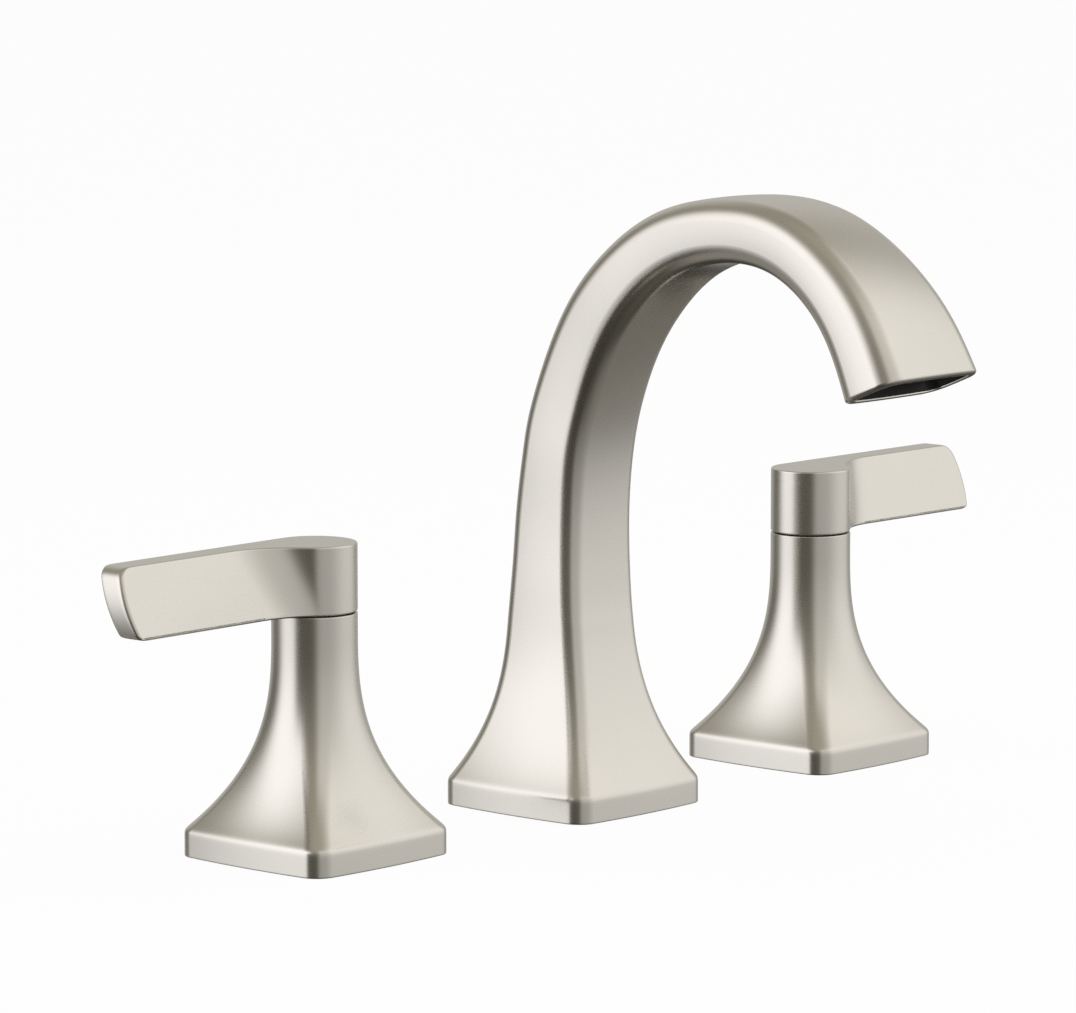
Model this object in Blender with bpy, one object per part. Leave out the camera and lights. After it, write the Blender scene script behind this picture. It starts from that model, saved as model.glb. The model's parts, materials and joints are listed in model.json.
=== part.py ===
"""Widespread bathroom faucet: an arched spout standing between two lever handles.

The origin is the centre of the spout's base plate on the deck. +X runs from the left handle to the right
one, the spout reaches forwards along -Y, and +Z is up. All lengths are in metres.
"""

import math

import bmesh
import bpy
import numpy as np
from mathutils import Matrix

# Driving dimensions of the whole set
handle_centres = 0.2032
spout_height = 0.1707
lever_reach = 0.0692
deck_thickness = 0.030
clearance = 0.0003

# Base plate and flare, which the two bells and the spout share
plate_half = 0.0256
plate_bow = 0.0013
plate_corner = 0.0048
plate_height = 0.0070
plate_rim = 0.0032
edge_round = 0.0006
flare_top = 0.0600
flare_power = 2.75
gasket_thickness = 0.0020

# Bell that covers each valve, with a slimmer flare than the spout's
bell_flare_power = 2.89
bell_neck_radius = 0.01135
bell_top = 0.0642
bell_wall = 0.0015

# Lever, seen with its hub standing on the bell
lever_seam = 0.0005
hub_radius = 0.01135
hub_height = 0.0183
hub_bore_radius = 0.0075
hub_roof = 0.0042
blade_thickness = 0.0072
blade_lean = 0.0073
blade_swing = 0.0147
blade_fillet = 0.0240
tip_bulge_radius = 0.0250
tip_top_corner = 0.0030
tip_bottom_corner = 0.0015
tip_edge_round = 0.0008

# Set screw in the back of the lever hub
set_screw_radius = 0.0020
set_screw_height = 0.0060
set_screw_recess = 0.0004
hex_socket_radius = 0.0009
hex_socket_depth = 0.0018

# Valve body, from its inlet thread up to its cartridge socket
shank_radius = 0.0103
manifold_radius = 0.0125
manifold_height = 0.0190
manifold_chamfer = 0.0015
shank_below_nut = 0.0030
inlet_length = 0.0140
inlet_radius = 0.0103
waterway_radius = 0.0050
head_radius = 0.0090
socket_radius = 0.0073
socket_floor = 0.0080
head_shoulder = 0.0200
head_top = 0.0330
side_port_radius = 0.0070
side_port_bore = 0.0040
side_port_length = 0.0240
side_port_socket = 0.0030
side_port_rib = 0.0012

# Cartridge stack
seat_seal_height = 0.0027
seat_seal_bore = 0.0042
disc_height = 0.0025
disc_radius = 0.0057
disc_port_radius = 0.0015
disc_port_offset = 0.0031
cartridge_wall = 0.0010
cartridge_flange_height = 0.0017
cartridge_neck_radius = 0.0049
cartridge_neck_top = 0.0500
ring_groove_depth = 0.0011
ring_groove_height = 0.0020
ring_groove_base = 0.0240
stem_radius = 0.0032
stem_foot_radius = 0.0050
stem_foot_height = 0.0030
spline_radius = 0.0040
spline_length = 0.0120
clip_radius = 0.0050
clip_height = 0.0010
bonnet_radius = 0.0107
bonnet_base = 0.0220
bonnet_lip = 0.0016
adapter_skirt = 0.0030
glide_ring_depth = 0.0030

# Nuts and washers of the three deck fixings
deck_nut_radius = 0.0165
deck_nut_height = 0.0045
washer_radius = 0.0190
rubber_washer_height = 0.0030
metal_washer_height = 0.0015
lock_nut_height = 0.0095
lock_nut_radius = 0.0150
wing_reach = 0.0210

# Spout
spout_wall = 0.0022
mouth_wall = 0.0016
mouth_round = 0.0012
mouth_corner = 0.0060
column_corner = 0.0044
column_bow = 0.0005
spout_block_height = 0.0110
spout_boss_radius = 0.0145
spout_shank_top = 0.0210
spout_shank_length = 0.0300
spout_tube_radius = 0.0048
spout_tube_wall = 0.0009
tube_seat_depth = 0.0060
nipple_length = 0.0160
nipple_radius = 0.0080
nipple_hex_radius = 0.0100
nipple_hex_height = 0.0050
outlet_recess = 0.0022
outlet_housing_depth = 0.0080
outlet_housing_wall = 0.0012
outlet_seal_depth = 0.0016
grille_thickness = 0.0020
grille_slot_width = 0.0016
grille_bar_width = 0.0010

# Side view of the spout, rising from the base plate and curving over to the outlet. Each row holds the back
# edge's depth and height, the front edge's depth and height, and the half width, as shares of spout_height.
spout_edge_shares = (
    (0.0840, 0.0000, -0.0830, 0.0000, 0.0820),
    (0.0858, 0.1640, -0.0801, 0.1640, 0.0830),
    (0.0838, 0.3000, -0.0727, 0.3000, 0.0837),
    (0.0765, 0.3870, -0.0682, 0.3870, 0.0820),
    (0.0692, 0.4800, -0.0686, 0.4800, 0.0807),
    (0.0545, 0.5740, -0.0772, 0.5740, 0.0817),
    (0.0348, 0.6560, -0.0983, 0.6560, 0.0814),
    (-0.0231, 0.7874, -0.1331, 0.7354, 0.0834),
    (-0.1063, 0.8918, -0.1809, 0.8030, 0.0862),
    (-0.2209, 0.9693, -0.2498, 0.8610, 0.0868),
    (-0.3650, 0.9999, -0.3464, 0.8947, 0.0893),
    (-0.5280, 0.9748, -0.4665, 0.8864, 0.0968),
    (-0.6711, 0.8673, -0.5741, 0.8128, 0.1092),
    (-0.7464, 0.7470, -0.6353, 0.7011, 0.1187),
)
spout_level_shares = (0.00, 0.05, 0.09, 0.14, 0.20, 0.27, 0.35, 0.44, 0.54, 0.66, 0.80, 1.00)

# Faces round each section
corner_steps = 3
side_steps = 4
turning_steps = 16
nut_steps = 24
hub_steps = 18
fillet_steps = 6
tube_sides = 12
tube_stations = 15
column_stations = 4
arch_stations = 19
first_arch_row = 6


def clear_scene():
    for item in list(bpy.data.objects):
        bpy.data.objects.remove(item, do_unlink=True)


def make_material(name, colour, roughness, metallic):
    material = bpy.data.materials.new(name)
    material.use_nodes = True
    shader = material.node_tree.nodes["Principled BSDF"]
    shader.inputs["Base Color"].default_value = (*colour, 1.0)
    shader.inputs["Roughness"].default_value = roughness
    shader.inputs["Metallic"].default_value = metallic
    return material


def make_finishes():
    return {
        "nickel": make_material("brushed_nickel", (0.62, 0.59, 0.53), 0.32, 1.0),
        "brass": make_material("brass", (0.70, 0.52, 0.24), 0.35, 1.0),
        "steel": make_material("stainless_steel", (0.55, 0.55, 0.54), 0.35, 1.0),
        "rubber": make_material("black_rubber", (0.03, 0.03, 0.03), 0.80, 0.0),
        "plastic": make_material("grey_plastic", (0.35, 0.35, 0.35), 0.50, 0.0),
        "white_plastic": make_material("white_plastic", (0.80, 0.80, 0.78), 0.45, 0.0),
        "ceramic": make_material("white_ceramic", (0.85, 0.84, 0.80), 0.20, 0.0),
    }


def make_object(name, mesh_builder, material, parent=None, height=0.0):
    """Finish a bmesh as one named object, shaded smooth between its sharp edges."""
    mesh = bpy.data.meshes.new(name)
    bmesh.ops.recalc_face_normals(mesh_builder, faces=mesh_builder.faces)
    mesh_builder.to_mesh(mesh)
    mesh_builder.free()
    mesh.shade_smooth()
    mesh.set_sharp_from_angle(angle=math.radians(30))
    mesh.materials.append(material)
    item = bpy.data.objects.new(name, mesh)
    item.parent = parent
    item.location.z = height
    bpy.context.collection.objects.link(item)
    return item


def make_empty(name, across):
    """Mark the upright axis that a handle's pieces stand on."""
    empty = bpy.data.objects.new(name, None)
    empty.location.x = across
    bpy.context.collection.objects.link(empty)
    return empty


def cut_away(item, cutter):
    """Cut a hidden cutter's shape out of an object."""
    cutter.hide_render = True
    cutter.display_type = "WIRE"
    cut = item.modifiers.new("cut_" + cutter.name, "BOOLEAN")
    cut.operation = "DIFFERENCE"
    cut.object = cutter
    cut.solver = "EXACT"


def turned(outline, closed=True, steps=turning_steps):
    """Spin an outline of (radius, height) points round the Z axis.

    A closed outline makes a ring, and an open one starts and ends on the axis.
    """
    builder = bmesh.new()
    corners = [builder.verts.new((radius, 0.0, height)) for radius, height in outline]
    pairs = list(zip(corners, corners[1:]))
    if closed:
        pairs.append((corners[-1], corners[0]))
    sides = [builder.edges.new(pair) for pair in pairs]
    bmesh.ops.spin(builder, geom=corners + sides, axis=(0, 0, 1), cent=(0, 0, 0),
                   angle=math.tau, steps=steps, use_merge=True)
    bmesh.ops.remove_doubles(builder, verts=builder.verts, dist=edge_round * 0.001)
    return builder


def ring_outline(inner_radius, outer_radius, base, top):
    return [(inner_radius, base), (outer_radius, base), (outer_radius, top), (inner_radius, top)]


def lofted(rings, joined_ends=False):
    """Skin rings of points that have the same count, either capped or running back into the first ring."""
    builder = bmesh.new()
    loops = [[builder.verts.new(point) for point in ring] for ring in rings]
    count = len(loops[0])
    pairs = list(zip(loops, loops[1:]))
    if joined_ends:
        pairs.append((loops[-1], loops[0]))
    for lower, upper in pairs:
        for index in range(count):
            after = (index + 1) % count
            builder.faces.new((lower[index], lower[after], upper[after], upper[index]))
    if not joined_ends:
        builder.faces.new(reversed(loops[0]))
        builder.faces.new(loops[-1])
    return builder


def hex_outline(radius, sides=6):
    turns = [math.tau * index / sides for index in range(sides)]
    return [(radius * math.cos(turn), radius * math.sin(turn)) for turn in turns]


def at_height(outline, height):
    return [(x, y, height) for x, y in outline]


def circle_outline(radius, steps=turning_steps):
    return hex_outline(radius, steps)


def rounded_section(half_x, half_y, corner, bow):
    """Go round a rectangle with round corners and outward-bowed sides, as (x, y) points."""
    points = []
    signs = ((1, 1), (-1, 1), (-1, -1), (1, -1))
    for quarter, (sign_x, sign_y) in enumerate(signs):
        centre = (sign_x * (half_x - corner), sign_y * (half_y - corner))
        arc = []
        for step in range(corner_steps + 1):
            turn = math.pi / 2 * (quarter + step / corner_steps)
            arc.append((centre[0] + corner * math.cos(turn), centre[1] + corner * math.sin(turn)))
        points.extend(arc)
        next_x, next_y = signs[(quarter + 1) % 4]
        goal_turn = math.pi / 2 * (quarter + 1)
        goal = (next_x * (half_x - corner) + corner * math.cos(goal_turn),
                next_y * (half_y - corner) + corner * math.sin(goal_turn))
        for step in range(1, side_steps):
            share = step / side_steps
            points.append((arc[-1][0] + (goal[0] - arc[-1][0]) * share,
                           arc[-1][1] + (goal[1] - arc[-1][1]) * share))
    bowed = []
    for x, y in points:
        bow_x = bow * (1 - (y / half_y) ** 2) * x / half_x
        bow_y = bow * (1 - (x / half_x) ** 2) * y / half_y
        bowed.append((x + bow_x, y + bow_y))
    return bowed


def flare_share(height, power):
    """How much of the base plate's shape is left at a height: 1 on the plate, 0 at flare_top."""
    rise = min(max(flare_top - height, 0.0) / (flare_top - plate_height), 1.0)
    return rise ** power


def bell_ring(height, inset):
    """Section of the bell: the base plate's rounded square, drawn in to a round neck."""
    share = flare_share(height, bell_flare_power)
    half = plate_half - inset
    ring = []
    for x, y in rounded_section(half, half, max(plate_corner - inset, edge_round), plate_bow):
        distance = math.hypot(x, y)
        scale = share + (1 - share) * (bell_neck_radius - inset) / distance
        ring.append((x * scale, y * scale, height))
    return ring


def plate_ring(height, inset):
    half = plate_half - inset
    corner = max(plate_corner - inset, edge_round)
    return at_height(rounded_section(half, half, corner, plate_bow), height)


def flare_heights(top):
    """Heights that follow the flare, closer together where it is steep."""
    return [plate_height + (top - plate_height) * share for share in spout_level_shares]


def make_bell(prefix, finishes, base):
    shoulder = plate_height - edge_round
    heights = flare_heights(flare_top)
    outer = [plate_ring(0.0, 0.0), plate_ring(shoulder, 0.0)]
    outer += [bell_ring(height, 0.0) for height in heights[1:]]
    rim_height = bell_top - edge_round
    outer += [bell_ring(rim_height, 0.0), bell_ring(bell_top, edge_round / 2)]
    inner = [bell_ring(bell_top, bell_wall)]
    inner += [bell_ring(height, bell_wall) for height in heights[:1:-2]]
    inner += [plate_ring(shoulder - plate_rim / 2, plate_rim), plate_ring(0.0, plate_rim)]
    return make_object(prefix + "_bell", lofted(outer + inner, joined_ends=True), finishes["nickel"], base)


def round_hole(ring, radius, height):
    """Points of a round hole that lie in the same directions as the points of a ring round it."""
    hole = []
    for x, y, _ in ring:
        distance = math.hypot(x, y)
        hole.append((x * radius / distance, y * radius / distance, height))
    return hole


def make_gasket(name, finishes, base):
    """Flat sheet that fills the recess under a base plate, with a round hole for the shank."""
    low = plate_ring(0.0, plate_rim + clearance)
    high = plate_ring(gasket_thickness, plate_rim + clearance)
    hole_radius = shank_radius + clearance
    rings = [low, high, round_hole(high, hole_radius, gasket_thickness), round_hole(low, hole_radius, 0.0)]
    return make_object(name, lofted(rings, joined_ends=True), finishes["rubber"], base)


# Heights of the pieces stacked round and inside each valve
deck_nut_floor = gasket_thickness + clearance
rubber_washer_floor = -deck_thickness - rubber_washer_height
metal_washer_floor = rubber_washer_floor - clearance - metal_washer_height
lock_nut_floor = metal_washer_floor - clearance - lock_nut_height
manifold_top = lock_nut_floor - shank_below_nut
manifold_floor = manifold_top - manifold_height
inlet_floor = manifold_floor - inlet_length
seat_seal_top = socket_floor + clearance + seat_seal_height
lower_disc_floor = seat_seal_top + clearance
upper_disc_floor = lower_disc_floor + disc_height + clearance
stem_foot_floor = upper_disc_floor + disc_height + clearance
cartridge_chamber_top = stem_foot_floor + stem_foot_height + clearance
cartridge_flange_floor = head_top + clearance
cartridge_flange_top = cartridge_flange_floor + cartridge_flange_height
bonnet_lip_floor = cartridge_flange_top + clearance
clip_floor = cartridge_neck_top + clearance
hub_floor = bell_top + lever_seam
hub_top = hub_floor + hub_height
bore_roof = hub_top - hub_roof
adapter_top = bore_roof - clearance
adapter_floor = hub_floor - adapter_skirt
adapter_radius = hub_bore_radius - clearance
stem_top = adapter_top - clearance
cartridge_radius = socket_radius - clearance


def make_valve_body(prefix, finishes, base, inward):
    """Brass body: inlet thread, manifold with its side port, threaded shank and cartridge socket."""
    outline = [
        (waterway_radius, inlet_floor),
        (inlet_radius - manifold_chamfer / 2, inlet_floor),
        (inlet_radius, inlet_floor + manifold_chamfer / 2),
        (inlet_radius, manifold_floor),
        (manifold_radius - manifold_chamfer, manifold_floor),
        (manifold_radius, manifold_floor + manifold_chamfer),
        (manifold_radius, manifold_top - manifold_chamfer),
        (manifold_radius - manifold_chamfer, manifold_top),
        (shank_radius, manifold_top),
        (shank_radius, head_shoulder),
        (head_radius, head_shoulder + (shank_radius - head_radius)),
        (head_radius, head_top),
        (socket_radius, head_top),
        (socket_radius, socket_floor),
        (waterway_radius, socket_floor),
    ]
    body = make_object(prefix + "_valve_body", turned(outline), finishes["brass"], base)
    bore = (manifold_floor + manifold_top) / 2
    cutter = make_object(prefix + "_side_port_cutter",
                         turned([(0.0, 0.0),
                                 (side_port_bore, 0.0),
                                 (side_port_bore, manifold_radius - side_port_socket),
                                 (side_port_radius, manifold_radius - side_port_socket),
                                 (side_port_radius, manifold_radius * 2),
                                 (0.0, manifold_radius * 2)], closed=False),
                         finishes["brass"], base, bore)
    cutter.data.transform(turn_to_side(inward))
    cut_away(body, cutter)
    return body


def turn_to_side(inward):
    """Rotation that lays a piece turned about Z along X, pointing inwards."""
    return Matrix.Rotation(inward * math.pi / 2, 4, "Y")


def make_side_port(prefix, finishes, base, inward):
    """Ribbed nipple in the side of the manifold, which the crossover hose to the spout pushes onto."""
    start = manifold_radius - side_port_socket + clearance
    shoulder = start + side_port_length / 2
    end = start + side_port_length
    body = side_port_radius - clearance
    neck = body - side_port_rib
    outline = [
        (side_port_bore, start),
        (body, start),
        (body, shoulder),
        (neck - side_port_rib, shoulder),
        (neck, (shoulder + end) / 2),
        (neck - side_port_rib, (shoulder + end) / 2),
        (neck - side_port_rib / 2, end - side_port_rib),
        (neck - side_port_rib, end),
        (side_port_bore, end),
    ]
    port = make_object(prefix + "_side_port", turned(outline), finishes["brass"], base,
                       (manifold_floor + manifold_top) / 2)
    port.data.transform(turn_to_side(inward))
    return port


def make_seat_seal(prefix, finishes, base):
    outline = ring_outline(seat_seal_bore, cartridge_radius, socket_floor + clearance, seat_seal_top)
    return make_object(prefix + "_seat_seal", turned(outline), finishes["rubber"], base)


def make_disc(name, finishes, parent, floor, port_count):
    """Ceramic disc with ports that line up with its neighbour's when the valve is open."""
    outline = [(0.0, 0.0), (disc_radius, 0.0), (disc_radius, disc_height), (0.0, disc_height)]
    disc = make_object(name, turned(outline, closed=False), finishes["ceramic"], parent, floor)
    for port in range(port_count):
        turn = math.tau * port / port_count
        cutter = make_object(f"{name}_port_cutter_{port}",
                             turned([(0.0, -disc_height), (disc_port_radius, -disc_height),
                                     (disc_port_radius, disc_height * 2), (0.0, disc_height * 2)],
                                    closed=False, steps=12),
                             finishes["ceramic"], parent, floor)
        cutter.location.x = disc_port_offset * math.cos(turn)
        cutter.location.y = disc_port_offset * math.sin(turn)
        cut_away(disc, cutter)
    return disc


def make_cartridge(prefix, finishes, base):
    """Cartridge body: a chamber for the discs, a sealing groove, a clamping flange and the stem's guide."""
    guide = stem_radius + clearance
    groove_top = ring_groove_base + ring_groove_height
    outline = [
        (cartridge_radius - cartridge_wall, lower_disc_floor),
        (cartridge_radius, lower_disc_floor),
        (cartridge_radius, ring_groove_base),
        (cartridge_radius - ring_groove_depth, ring_groove_base),
        (cartridge_radius - ring_groove_depth, groove_top),
        (cartridge_radius, groove_top),
        (cartridge_radius, cartridge_flange_floor),
        (head_radius, cartridge_flange_floor),
        (head_radius, cartridge_flange_top),
        (cartridge_neck_radius, cartridge_flange_top),
        (cartridge_neck_radius, cartridge_neck_top),
        (guide, cartridge_neck_top),
        (guide, cartridge_chamber_top),
        (cartridge_radius - cartridge_wall, cartridge_chamber_top),
    ]
    return make_object(prefix + "_cartridge", turned(outline), finishes["brass"], base)


def make_cartridge_ring(prefix, finishes, base):
    """Rubber ring in the cartridge's groove."""
    centre = ring_groove_base + ring_groove_height / 2
    inner = cartridge_radius - ring_groove_depth + clearance / 2
    outer = socket_radius - clearance / 2
    half = ring_groove_height / 2 - clearance
    middle = (inner + outer) / 2
    outline = [(inner, centre), (middle, centre - half), (outer, centre), (middle, centre + half)]
    return make_object(prefix + "_cartridge_ring", turned(outline), finishes["rubber"], base)


def make_bonnet(prefix, finishes, base):
    """Bonnet nut that screws onto the valve body and clamps the cartridge's flange."""
    thread = head_radius + clearance
    lip_top = bonnet_lip_floor + bonnet_lip
    outline = [
        (thread, bonnet_base),
        (bonnet_radius, bonnet_base),
        (bonnet_radius, lip_top - edge_round),
        (bonnet_radius - edge_round, lip_top),
        (cartridge_neck_radius + clearance, lip_top),
        (cartridge_neck_radius + clearance, bonnet_lip_floor),
        (thread, bonnet_lip_floor),
    ]
    return make_object(prefix + "_bonnet", turned(outline), finishes["brass"], base)


def make_stem(prefix, finishes, axis):
    """Stem: a foot that drives the upper disc, a smooth shaft and a splined top."""
    spline_floor = stem_top - spline_length
    outline = [
        (stem_foot_radius, stem_foot_floor),
        (stem_foot_radius, stem_foot_floor + stem_foot_height),
        (stem_radius, stem_foot_floor + stem_foot_height),
        (stem_radius, spline_floor),
        (spline_radius, spline_floor + (spline_radius - stem_radius)),
        (spline_radius, stem_top - edge_round),
        (spline_radius - edge_round, stem_top),
    ]
    outline = [(0.0, stem_foot_floor)] + outline + [(0.0, stem_top)]
    return make_object(prefix + "_stem", turned(outline, closed=False), finishes["brass"], axis)


def make_clip(prefix, finishes, axis):
    """Snap ring that keeps the stem down in its cartridge, with a gap for the fitting tool."""
    gap = math.radians(40)
    steps = turning_steps
    inner = stem_radius + clearance
    rings = []
    for step in range(steps + 1):
        turn = gap / 2 + (math.tau - gap) * step / steps
        corners = ring_outline(inner, clip_radius, clip_floor, clip_floor + clip_height)
        rings.append([(radius * math.cos(turn), radius * math.sin(turn), height)
                      for radius, height in corners])
    return make_object(prefix + "_stem_clip", lofted(rings), finishes["steel"], axis)


def make_adapter(prefix, finishes, axis):
    """Splined sleeve between the stem and the lever's bore."""
    bore = spline_radius + clearance
    skirt_bore = spline_radius + clearance * 2
    outline = [
        (skirt_bore, adapter_floor),
        (adapter_radius, adapter_floor),
        (adapter_radius, adapter_top),
        (bore, adapter_top),
        (bore, hub_floor),
    ]
    return make_object(prefix + "_adapter", turned(outline), finishes["white_plastic"], axis)


def make_glide_ring(prefix, finishes, base):
    """Low-friction ring in the mouth of the bell, which the lever's hub turns on."""
    top = hub_floor - clearance
    outer = bell_neck_radius - bell_wall - clearance
    inner = adapter_radius + clearance
    outline = ring_outline(inner, outer, top - glide_ring_depth, top)
    return make_object(prefix + "_glide_ring", turned(outline), finishes["plastic"], base)


def blade_side(height):
    """How far the leaning blade has moved forwards at a height above the hub's floor."""
    return blade_lean * (hub_top - height) / hub_height


def tip_reach(height):
    """Length of the blade at a height, with its bulging end and its two round corners."""
    middle = (hub_floor + hub_top) / 2
    offset = height - middle
    reach = lever_reach - tip_bulge_radius + math.sqrt(tip_bulge_radius ** 2 - offset ** 2)
    from_top = hub_top - height
    if from_top < tip_top_corner:
        drop = tip_top_corner - from_top
        reach -= tip_top_corner - math.sqrt(tip_top_corner ** 2 - drop ** 2)
    from_floor = height - hub_floor
    if from_floor < tip_bottom_corner:
        drop = tip_bottom_corner - max(from_floor, 0.0)
        reach -= tip_bottom_corner - math.sqrt(tip_bottom_corner ** 2 - drop ** 2)
    return reach


def arc_points(centre, radius, start, end, steps):
    """Points on an arc between two directions, both ends included."""
    turns = [start + (end - start) * step / steps for step in range(steps + 1)]
    return [(centre[0] + radius * math.cos(turn), centre[1] + radius * math.sin(turn)) for turn in turns]


def lever_outline(height, inset):
    """Plan of the lever at a height, with its hub, its hollow fillet and its blade.

    It points along +X, and swings slightly forwards beyond the hub.
    """
    hub = hub_radius - inset
    back = hub_radius - blade_side(height) - inset
    front = hub_radius - blade_side(height) - blade_thickness + inset
    fillet = blade_fillet + inset
    tip = tip_reach(height) - inset
    back_turn = math.asin(min(back / hub, 1.0))
    fillet_depth = front - fillet
    fillet_along = math.sqrt((hub + fillet) ** 2 - fillet_depth ** 2)
    meet_turn = math.atan2(fillet_depth, fillet_along)
    rounding = tip_edge_round
    points = arc_points((0.0, 0.0), hub, back_turn, math.tau + meet_turn, hub_steps)
    hollow = arc_points((fillet_along, fillet_depth), fillet, math.pi + meet_turn, math.pi / 2, fillet_steps)
    points += hollow[1:]
    points += arc_points((tip - rounding, front + rounding), rounding, -math.pi / 2, 0.0, 2)
    points += arc_points((tip - rounding, back - rounding), rounding, 0.0, math.pi / 2, 2)
    points.append(((tip + hub) / 2, back))
    return [(x, y - blade_swing * max(x - hub_radius, 0.0)) for x, y in points]


def blade_heights():
    """Levels of the lever's sides, closer together at the round corners of the tip."""
    low = [hub_floor + tip_bottom_corner * share for share in (0.0, 0.25, 1.0)]
    high = [hub_top - tip_top_corner * share for share in (1.0, 0.5)]
    middle = [low[-1] + (high[0] - low[-1]) * share for share in (0.3, 0.5, 0.7)]
    return low + middle + high


def make_lever(prefix, finishes, axis, outward):
    """Lever: a round hub and a blade that leans forwards, bored for the adapter and the set screw."""
    rings = [at_height(lever_outline(hub_floor, edge_round / 2), hub_floor)]
    for height in blade_heights()[1:]:
        rings.append(at_height(lever_outline(height, 0.0), height))
    rings.append(at_height(lever_outline(hub_top - edge_round, 0.0), hub_top - edge_round))
    rings.append(at_height(lever_outline(hub_top, edge_round), hub_top))
    rings = [[(x * outward, y, z) for x, y, z in ring] for ring in rings]
    lever = make_object(prefix + "_lever", lofted(rings), finishes["nickel"], axis)
    bore = make_object(prefix + "_bore_cutter",
                       turned([(0.0, hub_floor - edge_round), (hub_bore_radius, hub_floor - edge_round),
                               (hub_bore_radius, bore_roof), (0.0, bore_roof)], closed=False),
                       finishes["nickel"], axis)
    cut_away(lever, bore)
    screw_hole = make_object(prefix + "_screw_hole_cutter",
                             turned([(0.0, hub_bore_radius / 2),
                                     (set_screw_radius + clearance, hub_bore_radius / 2),
                                     (set_screw_radius + clearance, hub_radius * 2),
                                     (0.0, hub_radius * 2)], closed=False, steps=16),
                             finishes["nickel"], axis, hub_floor + set_screw_height)
    screw_hole.rotation_euler.x = -math.pi / 2
    cut_away(lever, screw_hole)
    return lever


def make_set_screw(prefix, finishes, axis):
    """Headless screw with a hexagon socket, driven in from the back of the hub against the adapter."""
    start = adapter_radius + clearance
    end = hub_radius - set_screw_recess
    round_face = circle_outline(set_screw_radius, 12)
    socket = hex_outline(hex_socket_radius, 12)
    flats = []
    for index, (x, y) in enumerate(socket):
        scale = math.cos(math.pi / 6) if index % 2 else 1.0
        flats.append((x * scale, y * scale))
    rings = [at_height(round_face, start), at_height(round_face, end),
             at_height(flats, end), at_height(flats, end - hex_socket_depth)]
    screw = make_object(prefix + "_set_screw", lofted(rings), finishes["steel"], axis,
                        hub_floor + set_screw_height)
    screw.rotation_euler.x = -math.pi / 2
    return screw


def make_nut(name, finishes, base, floor, height, radius, sides=12):
    """Flat-sided nut on a shank: facets outside, a round threaded bore inside."""
    bore = circle_outline(shank_radius + clearance, nut_steps)
    outside = []
    for x, y in bore:
        turn = math.atan2(y, x)
        facet = math.tau / sides
        within = (turn + math.tau) % facet - facet / 2
        reach = radius * math.cos(facet / 2) / math.cos(within)
        outside.append((reach * math.cos(turn), reach * math.sin(turn)))
    top = floor + height
    rings = [at_height(outside, floor), at_height(outside, top), at_height(bore, top), at_height(bore, floor)]
    return make_object(name, lofted(rings, joined_ends=True), finishes["brass"], base)


def make_wing_nut(name, finishes, base):
    """Plastic lock nut under the deck, with four wings for turning it by hand."""
    top = lock_nut_floor + lock_nut_height
    wings = 4
    bore, outside = [], []
    for step in range(nut_steps):
        turn = math.tau * (step + 0.5) / nut_steps
        in_wing = step % (nut_steps // wings) in (0, nut_steps // wings - 1)
        reach = wing_reach if in_wing else lock_nut_radius
        bore.append(((shank_radius + clearance) * math.cos(turn), (shank_radius + clearance) * math.sin(turn)))
        outside.append((reach * math.cos(turn), reach * math.sin(turn)))
    rings = [at_height(outside, lock_nut_floor), at_height(outside, top), at_height(bore, top),
             at_height(bore, lock_nut_floor)]
    return make_object(name, lofted(rings, joined_ends=True), finishes["plastic"], base)


def make_washer(name, finishes, base, floor, height, finish):
    outline = ring_outline(shank_radius + clearance, washer_radius, floor, floor + height)
    return make_object(name, turned(outline), finishes[finish], base)


def make_deck_fixings(prefix, finishes, base):
    """Washers and nut that clamp a shank from under the deck."""
    make_washer(prefix + "_rubber_washer", finishes, base, rubber_washer_floor, rubber_washer_height, "rubber")
    make_washer(prefix + "_metal_washer", finishes, base, metal_washer_floor, metal_washer_height, "steel")
    make_wing_nut(prefix + "_lock_nut", finishes, base)


def make_handle(prefix, finishes, side):
    """One handle, on the left for side -1 and on the right for side +1."""
    across = side * handle_centres / 2
    base = make_empty(prefix + "_handle", across)
    axis = make_empty(prefix + "_lever_axis", across)
    make_bell(prefix, finishes, base)
    make_gasket(prefix + "_gasket", finishes, base)
    make_valve_body(prefix, finishes, base, -side)
    make_side_port(prefix, finishes, base, -side)
    make_nut(prefix + "_deck_nut", finishes, base, deck_nut_floor, deck_nut_height, deck_nut_radius)
    make_deck_fixings(prefix, finishes, base)
    make_seat_seal(prefix, finishes, base)
    make_disc(prefix + "_lower_disc", finishes, base, lower_disc_floor, 2)
    make_cartridge(prefix, finishes, base)
    make_cartridge_ring(prefix, finishes, base)
    make_bonnet(prefix, finishes, base)
    make_glide_ring(prefix, finishes, base)
    make_disc(prefix + "_upper_disc", finishes, axis, upper_disc_floor, 2)
    make_stem(prefix, finishes, axis)
    make_clip(prefix, finishes, axis)
    make_adapter(prefix, finishes, axis)
    make_lever(prefix, finishes, axis, side)
    make_set_screw(prefix, finishes, axis)


def smooth_through(rows, places):
    """Natural cubic spline through rows of numbers, read at places given in row numbers."""
    values = np.array(rows, dtype=float)
    count = len(values)
    system = np.eye(count)
    slopes = np.zeros_like(values)
    for row in range(1, count - 1):
        system[row, row - 1:row + 2] = (1, 4, 1)
        slopes[row] = 6 * (values[row - 1] - 2 * values[row] + values[row + 1])
    bends = np.linalg.solve(system, slopes)
    lower = np.clip(np.floor(places).astype(int), 0, count - 2)
    ahead = (places - lower)[:, None]
    behind = 1 - ahead
    start, end = values[lower], values[lower + 1]
    return (behind * start + ahead * end + (behind ** 3 - behind) * bends[lower] / 6
            + (ahead ** 3 - ahead) * bends[lower + 1] / 6)


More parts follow.
